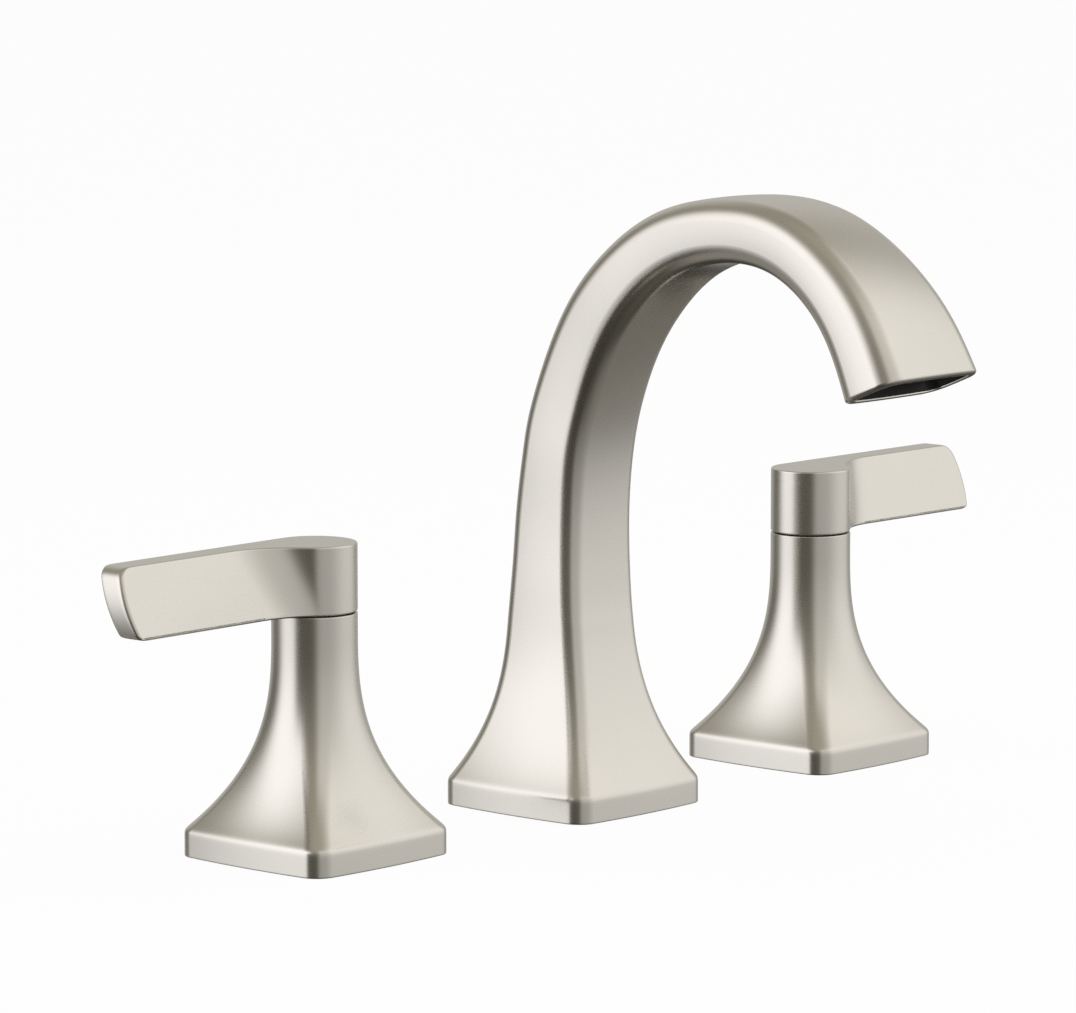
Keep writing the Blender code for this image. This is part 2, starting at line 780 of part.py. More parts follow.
def spout_places():
    """Row numbers of the stations that the spout's skin is built on, the arch's highest place among them."""
    rows = len(spout_edge_shares) - 1
    column = np.linspace(3.0, first_arch_row, column_stations, endpoint=False)
    arch = np.linspace(first_arch_row, rows, arch_stations)
    fine = np.linspace(first_arch_row, rows, 2001)
    highest = fine[np.argmax(spout_edges(fine)[:, 1])]
    arch[np.argmin(abs(arch - highest))] = highest
    return list(column) + list(arch)


def spout_edges(places):
    """Back edge, front edge and half width at row numbers along the spout, in metres."""
    return smooth_through(spout_edge_shares, np.array(places, dtype=float)) * spout_height


def section_ring(back, front, half_width, corner, bow, inset):
    """Section between a back and a front edge point, drawn in by an inset."""
    across = math.hypot(back[0] - front[0], back[1] - front[1])
    depth = (back[0] - front[0]) / across
    rise = (back[1] - front[1]) / across
    middle = ((back[0] + front[0]) / 2, (back[1] + front[1]) / 2)
    half_depth = across / 2 - bow - inset
    corner = max(corner - inset, edge_round)
    ring = []
    for x, along in rounded_section(half_width - bow - inset, half_depth, corner, bow):
        ring.append((x, middle[0] + along * depth, middle[1] + along * rise))
    return ring


def spout_corner(place):
    """Corner radius and side bow at a row number, easing from the base plate to the mouth."""
    share = place / (len(spout_edge_shares) - 1)
    return column_corner + (mouth_corner - column_corner) * share


def arch_ring(place, inset):
    row = spout_edges([place])[0]
    return section_ring((row[0], row[1]), (row[2], row[3]), row[4], spout_corner(place), column_bow, inset)


def flare_ring(height, inset):
    """Section of the spout's foot: the base plate drawn in to the column."""
    place = height_to_place(height)
    row = spout_edges([place])[0]
    share = flare_share(height, flare_power)
    plate = plate_half + plate_bow
    back = share * plate + (1 - share) * row[0]
    front = -share * plate + (1 - share) * row[2]
    half_width = share * plate + (1 - share) * row[4]
    corner = share * plate_corner + (1 - share) * spout_corner(place)
    bow = share * plate_bow + (1 - share) * column_bow
    return section_ring((back, height), (front, height), half_width, corner, bow, inset)


def height_to_place(height):
    """Row number at a height in the column, where the rows' back and front edges are level."""
    heights = [row[1] * spout_height for row in spout_edge_shares[:first_arch_row + 1]]
    return float(np.interp(height, heights, range(len(heights))))


def mouth_inset(place):
    """Thickness of the spout's wall, which thins towards the mouth."""
    rows = len(spout_edge_shares) - 1
    share = min(max(place - (rows - 2), 0.0) / 2, 1.0)
    return spout_wall + (mouth_wall - spout_wall) * share


def mouth_places():
    """Row numbers of the mouth's edge and of the ends of the pieces seated in it, going inwards."""
    housing_end = outlet_recess + outlet_housing_depth
    distances = (0.0, outlet_recess, housing_end, housing_end + clearance,
                 housing_end + clearance + outlet_seal_depth)
    return [place_before_mouth(distance) for distance in distances]


def make_spout_body(finishes):
    """Hollow arched spout in one piece with its base plate, and a rounded edge at its mouth."""
    heights = flare_heights(flare_top)
    shoulder = plate_height - edge_round
    outer = [plate_ring(0.0, 0.0), plate_ring(shoulder, 0.0)]
    outer += [flare_ring(height, 0.0) for height in heights[1:]]
    places = spout_places()
    outer += [arch_ring(place, 0.0) for place in places[:-1]]
    outer += [arch_ring(place_before_mouth(mouth_round / 2), 0.0), arch_ring(places[-1], mouth_round / 2)]
    inner_places = mouth_places() + [place for place in places[::-2] if place < mouth_places()[-1]]
    inner = [arch_ring(place, mouth_inset(place)) for place in inner_places]
    inner += [flare_ring(height, spout_wall) for height in heights[:1:-2]]
    inner += [plate_ring(shoulder - plate_rim / 2, plate_rim), plate_ring(0.0, plate_rim)]
    return make_object("spout_body", lofted(outer + inner, joined_ends=True), finishes["nickel"])


def make_spout_block(finishes):
    """Brass flange fixed in the foot of the spout, with a round boss threaded for the shank."""
    floor = gasket_thickness + clearance
    shoulder = plate_height - edge_round - plate_rim / 2 - clearance
    top = floor + spout_block_height
    wall = plate_rim + clearance
    bore = shank_radius + clearance
    foot = plate_ring(floor, wall)
    rim = plate_ring(shoulder, wall)
    rings = [foot, rim, round_hole(rim, spout_boss_radius, shoulder), round_hole(rim, spout_boss_radius, top),
             round_hole(rim, bore, top), round_hole(foot, bore, floor)]
    return make_object("spout_block", lofted(rings, joined_ends=True), finishes["brass"])


def make_spout_shank(finishes):
    """Threaded tube that joins the spout to the deck fixings and carries the water up."""
    floor = lock_nut_floor - spout_shank_length
    outline = [
        (waterway_radius, floor),
        (shank_radius - edge_round, floor),
        (shank_radius, floor + edge_round),
        (shank_radius, spout_shank_top - edge_round),
        (shank_radius - edge_round, spout_shank_top),
        (spout_tube_radius + clearance, spout_shank_top),
        (spout_tube_radius + clearance, spout_shank_top - tube_seat_depth),
        (waterway_radius - spout_tube_wall, spout_shank_top - tube_seat_depth),
        (waterway_radius - spout_tube_wall, floor + nipple_length),
        (waterway_radius, floor + nipple_length),
    ]
    return make_object("spout_shank", turned(outline), finishes["brass"])


def spout_centre_line():
    """Centre of the waterway: straight up the column, then midway between the arch's two edges."""
    tube_end = place_before_mouth(outlet_recess + outlet_housing_depth + outlet_seal_depth + clearance * 2)
    places = np.linspace(height_to_place(flare_top), tube_end, tube_stations)
    edges = spout_edges(places)
    middles = [((row[0] + row[2]) / 2, (row[1] + row[3]) / 2) for row in edges]
    floor = spout_shank_top - tube_seat_depth + clearance
    straight = [(0.0, floor), (0.0, spout_shank_top), (0.0, (spout_shank_top + flare_top) / 2)]
    return straight + middles


def place_before_mouth(distance):
    """Row number at a distance up the spout's middle from its mouth."""
    rows = len(spout_edge_shares) - 1
    places = np.linspace(rows, rows - 2, 81)
    edges = spout_edges(places)
    middles = (edges[:, 0:2] + edges[:, 2:4]) / 2
    steps = np.linalg.norm(np.diff(middles, axis=0), axis=1)
    travelled = np.concatenate([[0.0], np.cumsum(steps)])
    return float(np.interp(distance, travelled, places))


def make_spout_tube(finishes):
    """Round waterway tube inside the spout, from the shank to the outlet."""
    line = np.array(spout_centre_line())
    headings = np.gradient(line, axis=0)
    headings /= np.linalg.norm(headings, axis=1)[:, None]
    outer, inner = [], []
    for (depth, height), (along_y, along_z) in zip(line, headings):
        for rings, radius in ((outer, spout_tube_radius), (inner, spout_tube_radius - spout_tube_wall)):
            rings.append([(x, depth + y * along_z, height - y * along_y)
                          for x, y in circle_outline(radius, tube_sides)])
    return make_object("spout_tube", lofted(outer + inner[::-1], joined_ends=True), finishes["brass"])


def outlet_sleeve(name, finish, finishes, near, far, outer_gap, wall):
    """Rounded rectangular sleeve inside the mouth, between two distances from its edge."""
    places = (place_before_mouth(near), place_before_mouth(far))
    outer = [arch_ring(place, mouth_inset(place) + outer_gap) for place in places]
    inner = [arch_ring(place, mouth_inset(place) + outer_gap + wall) for place in reversed(places)]
    return make_object(name, lofted(outer + inner, joined_ends=True), finishes[finish])


def make_outlet(finishes):
    """Outlet insert: its housing, the grille that straightens the flow, and the seal behind them."""
    far = outlet_recess + outlet_housing_depth
    outlet_sleeve("outlet_housing", "plastic", finishes, outlet_recess, far, clearance, outlet_housing_wall)
    outlet_sleeve("outlet_seal", "rubber", finishes, far + clearance, far + clearance + outlet_seal_depth,
                  clearance, outlet_housing_wall)
    make_grille(finishes)


def make_grille(finishes):
    """Slotted plate across the housing."""
    near = outlet_recess + grille_thickness / 2
    places = (place_before_mouth(near), place_before_mouth(near + grille_thickness))
    gap = clearance * 2 + outlet_housing_wall
    rings = [arch_ring(place, mouth_inset(place) + gap) for place in places]
    grille = make_object("outlet_grille", lofted(rings), finishes["steel"])
    middle = spout_edges([(places[0] + places[1]) / 2])[0]
    back, front = np.array(middle[0:2]), np.array(middle[2:4])
    centre = (back + front) / 2
    across = (back - front) / np.linalg.norm(back - front)
    slot_half = np.linalg.norm(back - front) / 2 - mouth_wall - gap - column_bow - grille_bar_width
    half_width = middle[4] - mouth_wall - gap - mouth_corner / 2
    pitch = grille_slot_width + grille_bar_width
    slots = int(half_width / pitch)
    for slot in range(-slots, slots + 1):
        cutter_name = f"grille_slot_cutter_{slot + slots:02d}"
        make_slot_cutter(cutter_name, finishes, grille, slot * pitch, centre, across, slot_half)
    return grille


def make_slot_cutter(name, finishes, grille, x, centre, across, slot_half):
    """One slot of the grille: a thin box that runs along the water's direction."""
    builder = bmesh.new()
    bmesh.ops.create_cube(builder, size=1.0)
    for corner in builder.verts:
        corner.co.x *= grille_slot_width
        corner.co.y *= slot_half * 2
        corner.co.z *= grille_thickness * 3
    cutter = make_object(name, builder, finishes["steel"])
    cutter.location = (x, centre[0], centre[1])
    cutter.rotation_euler.x = math.atan2(across[1], across[0])
    cut_away(grille, cutter)


def make_nipple(finishes):
    """Inlet nipple at the foot of the shank, with its hexagon, where the crossover hoses join."""
    floor = lock_nut_floor - spout_shank_length
    body = waterway_radius - clearance
    seat = floor - clearance
    hex_floor = seat - nipple_hex_height
    end = hex_floor - nipple_length
    bore = body - spout_tube_wall * 2
    outline = [
        (bore, end),
        (nipple_radius - edge_round, end),
        (nipple_radius, end + edge_round),
        (nipple_radius, hex_floor),
        (nipple_hex_radius, hex_floor),
        (nipple_hex_radius, seat),
        (body, seat),
        (body, floor + nipple_length - clearance),
        (bore, floor + nipple_length - clearance),
    ]
    return make_object("spout_nipple", turned(outline), finishes["brass"])


def make_spout(finishes):
    make_spout_body(finishes)
    make_gasket("spout_gasket", finishes, None)
    make_spout_block(finishes)
    make_spout_shank(finishes)
    make_spout_tube(finishes)
    make_deck_fixings("spout", finishes, None)
    make_nipple(finishes)
    make_outlet(finishes)


def build():
    clear_scene()
    finishes = make_finishes()
    make_spout(finishes)
    make_handle("left", finishes, -1)
    make_handle("right", finishes, 1)


build()
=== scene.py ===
"""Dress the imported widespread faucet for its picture.

Every piece of the set is made again here as a fine surface with its real finish: the arched spout, the two
flared bells, the two levers, and everything inside them and under the deck. All lengths are in metres. The
origin is the centre of the spout's foot on the deck, X runs from the left handle to the right one, the spout
reaches towards -Y, and Z is up.
"""

import json
import logging
import math
from dataclasses import dataclass, field
from enum import Enum
from typing import Any, Sequence

import bpy
import numpy as np
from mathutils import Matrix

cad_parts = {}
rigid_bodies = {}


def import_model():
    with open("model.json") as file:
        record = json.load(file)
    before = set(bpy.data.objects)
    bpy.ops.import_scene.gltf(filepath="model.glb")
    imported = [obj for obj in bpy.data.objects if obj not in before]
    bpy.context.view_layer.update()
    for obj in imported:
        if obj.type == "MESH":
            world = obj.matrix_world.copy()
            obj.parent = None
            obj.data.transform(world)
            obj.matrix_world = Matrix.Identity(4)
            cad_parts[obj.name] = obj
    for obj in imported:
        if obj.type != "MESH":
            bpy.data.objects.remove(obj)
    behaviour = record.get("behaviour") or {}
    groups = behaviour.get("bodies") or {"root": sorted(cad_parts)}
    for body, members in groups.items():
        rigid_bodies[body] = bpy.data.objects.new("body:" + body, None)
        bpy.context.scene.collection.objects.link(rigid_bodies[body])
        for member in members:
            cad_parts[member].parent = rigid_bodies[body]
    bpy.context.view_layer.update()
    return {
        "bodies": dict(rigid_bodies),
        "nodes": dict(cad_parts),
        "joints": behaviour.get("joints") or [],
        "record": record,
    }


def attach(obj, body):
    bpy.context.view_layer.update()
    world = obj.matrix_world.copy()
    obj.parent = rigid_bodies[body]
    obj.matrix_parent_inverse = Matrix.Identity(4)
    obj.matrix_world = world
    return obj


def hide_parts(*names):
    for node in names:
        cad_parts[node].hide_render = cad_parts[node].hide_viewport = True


Array = np.ndarray
Colour = tuple[float, float, float]

# Smooth length that is left beyond each end of a long thread.
RUNOUT = 0.0012
log = logging.getLogger("faucet")


class Slot(Enum):
    """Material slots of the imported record."""

    NICKEL = "nickel"
    BRASS = "brass"
    STEEL = "steel"
    RUBBER = "rubber"
    PLASTIC = "plastic"
    WHITE_PLASTIC = "white_plastic"
    CERAMIC = "ceramic"


class Look(Enum):
    """Finishes of pieces that differ from the others in their slot. The grille's near-black colour is painted
    shade that darkens the mouth's opening.
    """

    OUTLET = "outlet"
    GRILLE = "grille"


class Body(Enum):
    """Bodies of the frame that the pieces ride on."""

    FIXED = "fixed"
    LEFT = "left_handle"
    RIGHT = "right_handle"


class End(Enum):
    """How the first or last row of a surface is closed."""

    POINT = "one point"
    FLAT = "one flat face"


class Axis(Enum):
    """Direction that the axis of a turned piece is laid along, as the rows of its rotation."""

    UP = ((1, 0, 0), (0, 1, 0), (0, 0, 1))
    RIGHT = ((0, 0, 1), (0, 1, 0), (-1, 0, 0))
    LEFT = ((0, 0, -1), (0, 1, 0), (1, 0, 0))
    BACK = ((1, 0, 0), (0, 0, 1), (0, -1, 0))


@dataclass(frozen=True)
class Place:
    """Where a piece that was shaped round the origin belongs."""

    across: float = 0.0
    height: float = 0.0
    axis: Axis = Axis.UP

    def carry(self, grid: Array) -> Array:
        """Turn a grid of points onto the axis and move it to its place."""
        return grid @ np.array(self.axis.value, float).T + (self.across, 0.0, self.height)


class NodeBoard:
    """Node tree of a material or a world, with a short way to add and join its nodes."""

    def __init__(self, tree: bpy.types.NodeTree) -> None:
        """Start on an empty tree."""
        self.tree = tree
        tree.nodes.clear()

    def add(self, kind: str, inputs: dict[Any, Any] | None = None, **settings: Any) -> bpy.types.Node:
        """Add a node, set it up and feed it.

        Args:
            kind: Blender's name of the node type, without its ShaderNode prefix.
            inputs: Values for its sockets, or sockets of other nodes to link to them.
            settings: Values for the node's own properties.

        Returns:
            The new node.
        """
        node = self.tree.nodes.new("ShaderNode" + kind)
        for name, value in settings.items():
            setattr(node, name, value)
        for key, value in (inputs or {}).items():
            if isinstance(value, bpy.types.NodeSocket):
                self.tree.links.new(value, node.inputs[key])
            else:
                node.inputs[key].default_value = value
        return node

    def math(self, operation: str, *values: Any) -> bpy.types.NodeSocket:
        """Work out one number from sockets and constants."""
        return self.add("Math", dict(enumerate(values)), operation=operation).outputs[0]

    def ramp(self, factor: bpy.types.NodeSocket,
             stops: Sequence[tuple[float, Colour]]) -> bpy.types.NodeSocket:
        """Read a colour off a row of (position, colour) stops."""
        node = self.add("ValToRGB", {"Fac": factor})
        elements = node.color_ramp.elements
        while len(elements) < len(stops):
            elements.new(1.0)
        for element, (position, colour) in zip(elements, stops):
            element.position = position
            element.color = (*colour, 1.0)
        return node.outputs["Color"]

    def spread(self, value: bpy.types.NodeSocket, low: float, high: float) -> bpy.types.NodeSocket:
        """Carry the middle of a noise pattern, 0.3 to 0.7, onto a range of values."""
        limits = {"Value": value, "From Min": 0.3, "From Max": 0.7, "To Min": low, "To Max": high}
        return self.add("MapRange", limits).outputs["Result"]


def shade(colour: Colour, factor: float) -> Colour:
    """Return a colour made lighter or darker by a factor."""
    return tuple(min(channel * factor, 1.0) for channel in colour)


@dataclass(frozen=True)
class Finish:
    """Common part of every finish: a colour that clouds slightly over the piece and a fine grain."""

    name: str
    colour: Colour
    roughness: float
    metallic: float = 0.0
    clouding: float = 0.03
    cloud_size: float = 0.02
    roughness_change: float = 0.03
    grain: tuple[float, float, float] = (4000.0, 4000.0, 4000.0)
    grain_depth: float = 0.00001
    extra: tuple[tuple[str, float], ...] = ()

    def material(self) -> bpy.types.Material:
        """Make the finish as a node material on Object coordinates.

        Returns:
            A material whose colour clouds slowly, and whose roughness and relief follow a fine stretched
            noise.
        """
        material = bpy.data.materials.new(self.name)
        material.use_nodes = True
        board = NodeBoard(material.node_tree)
        place = board.add("TexCoord").outputs["Object"]
        cloud = board.add("TexNoise", {"Vector": place, "Scale": 1.0 / self.cloud_size, "Detail": 3.0})
        colour = board.ramp(cloud.outputs["Fac"], ((0.3, shade(self.colour, 1.0 - self.clouding)),
                                                   (0.7, shade(self.colour, 1.0 + self.clouding))))
        stretched = board.add("Mapping", {"Vector": place, "Scale": self.grain}).outputs["Vector"]
        grain = board.add("TexNoise", {"Vector": stretched, "Scale": 1.0, "Detail": 3.0, "Roughness": 0.6})
        roughness = board.spread(grain.outputs["Fac"], self.roughness - self.roughness_change,
                                 self.roughness + self.roughness_change)
        relief = board.add("Bump", {"Height": grain.outputs["Fac"], "Distance": self.grain_depth})
        shader = board.add("BsdfPrincipled", {"Base Color": colour, "Roughness": roughness,
                                              "Metallic": self.metallic, "Normal": relief.outputs["Normal"]})
        for socket, value in self.extra:
            shader.inputs[socket].default_value = value
        board.add("OutputMaterial", {"Surface": shader.outputs["BSDF"]})
        return material


FINISHES = {
    Slot.NICKEL: Finish("brushed_nickel", (0.66, 0.632, 0.58), 0.27, metallic=1.0, clouding=0.012,
                        cloud_size=0.03, grain=(150.0, 150.0, 9000.0), grain_depth=0.0000001,
                        roughness_change=0.008),
    Slot.BRASS: Finish("turned_brass", (0.72, 0.54, 0.27), 0.30, metallic=1.0, clouding=0.06,
                       cloud_size=0.012, grain=(300.0, 300.0, 6000.0), grain_depth=0.000004,
                       roughness_change=0.06),
    Slot.STEEL: Finish("stainless_steel", (0.60, 0.60, 0.59), 0.28, metallic=1.0, clouding=0.03,
                       grain=(500.0, 4000.0, 4000.0), grain_depth=0.000003, roughness_change=0.05),
    Slot.RUBBER: Finish("black_rubber", (0.028, 0.028, 0.029), 0.72, clouding=0.15, cloud_size=0.008,
                        grain=(2500.0, 2500.0, 2500.0), grain_depth=0.00002, roughness_change=0.08),
    Slot.PLASTIC: Finish("grey_nylon", (0.33, 0.335, 0.34), 0.48, clouding=0.04,
                         grain=(1800.0, 1800.0, 1800.0), grain_depth=0.00001, roughness_change=0.05),
    Slot.WHITE_PLASTIC: Finish("white_acetal", (0.80, 0.80, 0.78), 0.42, clouding=0.015,
                               grain=(1500.0, 1500.0, 1500.0), grain_depth=0.000006,
                               extra=(("Subsurface Weight", 0.1), ("Subsurface Scale", 0.001))),
    # The outlet housing is near black with a weak specular, which makes the inside of the mouth look dark.
    Look.OUTLET: Finish("black_nylon", (0.010, 0.009, 0.009), 0.50, clouding=0.05,
                        grain=(1800.0, 1800.0, 1800.0), grain_depth=0.000008, roughness_change=0.05,
                        extra=(("Specular IOR Level", 0.2),)),
    # Painted shade: the grille is steel, but its colour is set near black so that the mouth's opening looks
    # dark, as it would in shadow.
    Look.GRILLE: Finish("blackened_steel", (0.035, 0.034, 0.033), 0.38, metallic=1.0, clouding=0.08,
                        grain=(900.0, 4000.0, 4000.0), grain_depth=0.000003, roughness_change=0.05),
    Slot.CERAMIC: Finish("lapped_ceramic", (0.84, 0.83, 0.79), 0.16, clouding=0.01,
                         grain=(6000.0, 6000.0, 6000.0), grain_depth=0.000001,
                         extra=(("Coat Weight", 0.3), ("Coat Roughness", 0.1))),
}


def grid_faces(rows: int, columns: int, wrap: bool) -> Array:
    """Number the corners of every cell of a grid whose columns run round and back to the first one.

    Args:
        rows: Rows of the grid.
        columns: Points in each row.
        wrap: Whether the last row joins the first one too.

    Returns:
        One line of four point numbers for each cell.
    """
    row = np.arange(rows if wrap else rows - 1)[:, None]
    column = np.arange(columns)[None, :]
    above, beside = (row + 1) % rows, (column + 1) % columns
    corners = (row * columns + column, row * columns + beside,
               above * columns + beside, above * columns + column)
    return np.stack(np.broadcast_arrays(*corners), axis=-1).reshape(-1, 4)


def end_faces(grid: Array, last: bool, end: End) -> tuple[Array, list[list[int]]]:
    """Close the first or the last row of a grid.

    Args:
        grid: The surface's points, with rows first.
        last: Whether the last row is closed, and not the first.
        end: How it is closed.

    Returns:
        The extra points and the faces, which point outwards. A point in the row's middle gets the next number
        after the grid's points, or the one after that for the last row.
    """
    rows, columns = grid.shape[:2]
    ring = np.arange(columns) + (rows - 1) * columns * last
    if not last:
        ring = ring[::-1]
    if end is End.FLAT:
        return np.empty((0, 3)), [ring.tolist()]
    middle = grid[-1 if last else 0].mean(axis=0)[None, :]
    fan = np.stack([ring, np.roll(ring, -1), np.full(columns, -1)], axis=-1)
    return middle, fan.tolist()


@dataclass
class Workshop:
    """Makes the pieces from grids of points, and sets each on the frame in its finish.

    An edge is sharp where its two faces turn by the crease, in degrees, or more.
    """

    palette: dict[Slot | Look, bpy.types.Material] = field(default_factory=dict)
    made: list[bpy.types.Object] = field(default_factory=list)
    crease: float = 40.0

    def finish(self, look: Slot | Look) -> bpy.types.Material:
        """Return the material of a slot or a look of its own, made when it is first asked for."""
        if look not in self.palette:
            self.palette[look] = FINISHES[look].material()
        return self.palette[look]

    def mesh(self, name: str, grid: Array, ends: tuple[End, End] | None) -> bpy.types.Object:
        """Put a grid of points into a mesh object.

        Args:
            name: Name of the object.
            grid: Points by row and column. Columns run round counter-clockwise as the rows go up or
                outwards.
            ends: How the first and last rows are closed, or None where the last row joins the first.

        Returns:
            The object, at the origin, with its place in its mesh.
        """
        rows, columns = grid.shape[:2]
        points, faces = grid.reshape(-1, 3), grid_faces(rows, columns, ends is None).tolist()
        for last, end in enumerate(ends or ()):
            middle, closing = end_faces(grid, bool(last), end)
            faces += [[len(points) if index < 0 else index for index in face] for face in closing]
            points = np.concatenate([points, middle])
        mesh = bpy.data.meshes.new(name)
        mesh.from_pydata(points.tolist(), [], faces)
        mesh.shade_smooth()
        mesh.set_sharp_from_angle(angle=math.radians(self.crease))
        piece = bpy.data.objects.new(name, mesh)
        bpy.context.scene.collection.objects.link(piece)
        return piece

    def dress(self, piece: bpy.types.Object, node: str, body: Body, slot: Slot,
              look: Look | None = None) -> bpy.types.Object:
        """Give a piece its finish, and let it ride on its body in place of its CAD node."""
        piece.data.materials.clear()
        piece.data.materials.append(self.finish(look or slot))
        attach(piece, body.value)
        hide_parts(node)
        self.made.append(piece)
        log.info("%s: %d faces, %s", piece.name, len(piece.data.polygons), slot.value)
        return piece

    def piece(self, node: str, body: Body, slot: Slot, grid: Array, ends: tuple[End, End] | None = None,
              look: Look | None = None) -> bpy.types.Object:
        """Make and dress the piece that stands for a node."""
        return self.dress(self.mesh(node + "_finished", grid, ends), node, body, slot, look)

    def repaint(self, frame: dict[str, Any], node: str, look: Slot | Look) -> None:
        """Give a CAD node that is kept its finish."""
        material = self.finish(look)
        for place in frame["nodes"][node].material_slots:
            place.material = material
        log.info("%s: kept from the CAD, %s", node, look.value)


def even_turns(count: int) -> Array:
    """Directions in even steps round a whole turn, in radians."""
    return np.arange(count) * math.tau / count


def around(radius: Array, height: Array, turns: Array) -> Array:
    """Grid of the points (r cos t, r sin t, h), from arrays that stretch to one another's shapes."""
    points = radius * np.cos(turns), radius * np.sin(turns), height
    return np.stack(np.broadcast_arrays(*points), axis=-1)


def flat_sided(radius: float, sides: int, turns: Array) -> Array:
    """Radius of a polygon: R cos(a) / cos(t mod 2a - a), where R is its corners' and a half a side's turn."""
    half_side = math.pi / sides
    return radius * math.cos(half_side) / np.cos(turns % (2 * half_side) - half_side)


def thread_wave(heights: Array, turns: Array, pitch: float, flat: float = 0.15) -> Array:
    """Shape of a thread between 0 and 1, by row and column.

    It is a triangle wave of (height / pitch - turn / full turn) that is cut flat at both limits.
    """
    phase = heights[:, None] / pitch - turns[None, :] / math.tau
    return np.clip(np.abs((phase % 1.0) * 2 - 1) * (1 + 2 * flat) - flat, 0.0, 1.0)


@dataclass(frozen=True)
class Thread:
    """Screw thread on the straight part of a turned profile."""

    radius: float
    low: float
    high: float
    pitch: float = 0.0018
    depth: float = 0.0009
    rows_per_turn: int = 8

    def rows(self, profile: Array) -> Array:
        """Add rows to a profile over the length of the thread.

        Args:
            profile: Points of (radius, height) in order.

        Returns:
            The profile with evenly spaced rows between the thread's two ends.
        """
        after = np.roll(profile, -1, axis=0)
        straight = np.isclose(profile[:, 0], self.radius) & np.isclose(after[:, 0], self.radius)
        lows, highs = np.minimum(profile[:, 1], after[:, 1]), np.maximum(profile[:, 1], after[:, 1])
        spans = straight & (lows <= self.low) & (highs >= self.high)
        index = int(np.flatnonzero(spans)[0])
        count = int((self.high - self.low) / self.pitch * self.rows_per_turn)
        heights = np.linspace(self.low, self.high, count)
        if after[index, 1] < profile[index, 1]:
            heights = heights[::-1]
        added = np.stack([np.full(count, self.radius), heights], axis=-1)
        return np.insert(profile, index + 1, added, axis=0)

    def cut(self, profile: Array, turns: Array) -> Array:
        """Return how far the groove draws the surface inwards, by row and column.

        The groove fades out over the last turn at each end.
        """
        inside = np.minimum(profile[:, 1] - self.low, self.high - profile[:, 1]) / self.pitch
        fade = np.clip(inside, 0.0, 1.0) * np.isclose(profile[:, 0], self.radius)
        return self.depth * thread_wave(profile[:, 1], turns, self.pitch) * fade[:, None]


def soften(outline: Array, rounding: float, closed: bool = True, steps: int = 5) -> Array:
    """Round the corners of a profile.

    A corner P whose neighbours lie in the directions a and b becomes the curve P + a c (1 - t)^2 + b c t^2,
    where c is the rounding, or a third of the shorter side next to it. One more point on each side of the
    curve keeps the flats beside it flat under smooth shading.

    Args:
        outline: Points of (radius, height) in order.
        rounding: Largest length that a corner takes off each side.
        closed: Whether the last point joins the first. An open profile keeps its two end points.
        steps: Points on each curve.

    Returns:
        The points of the rounded profile.
    """
    to_before = np.roll(outline, 1, axis=0) - outline
    to_after = np.roll(outline, -1, axis=0) - outline
    before, after = np.linalg.norm(to_before, axis=1), np.linalg.norm(to_after, axis=1)
    cut = np.minimum(rounding, np.minimum(before, after) / 3)[:, None]
    to_before, to_after = to_before / before[:, None] * cut, to_after / after[:, None] * cut
    share = np.linspace(0.0, 1.0, steps)[None, :, None]
    curve = outline[:, None] + to_before[:, None] * (1 - share) ** 2 + to_after[:, None] * share ** 2
    guard = 1.3
    guards = (outline + to_before * guard)[:, None], (outline + to_after * guard)[:, None]
    rows = np.concatenate([guards[0], curve, guards[1]], axis=1)
    if closed:
        return rows.reshape(-1, 2)
    return np.concatenate([outline[:1], rows[1:-1].reshape(-1, 2), outline[-1:]])


def turned(outline: Sequence[tuple[float, float]], rounding: float = 0.00025, columns: int = 64,
           closed: bool = True, threads: Sequence[Thread] = ()) -> Array:
    """Carry a profile round the Z axis, where its radius loses the threads' grooves.

    Args:
        outline: Points of (radius, height). An open outline starts and ends on the axis.
        rounding: How much the corners are rounded.
        columns: Steps round the axis.
        closed: Whether the outline is a ring that goes round a bore.
        threads: Threads cut into its straight parts.

    Returns:
        The grid of points. The two end rows of an open outline lie on the axis, and are left out.
    """
    profile = soften(np.array(outline, float), rounding, closed)
    if not closed:
        profile = profile[1:-1]
    for thread in threads:
        profile = thread.rows(profile)
    turns, radius = even_turns(columns), profile[:, :1]
    for thread in threads:
        radius = radius - thread.cut(profile, turns)
    return around(radius, profile[:, 1:], turns)


def ring(inner: float, outer: float, base: float, top: float) -> list[tuple[float, float]]:
    """Outline of a flat ring."""
    return [(inner, base), (outer, base), (outer, top), (inner, top)]


def quarter(count: int) -> tuple[Array, Array]:
    """Sine and 1 - cosine of a quarter turn in even steps, for rounding an edge."""
    turns = np.linspace(0.0, math.pi / 2, count)
    return np.sin(turns), 1 - np.cos(turns)


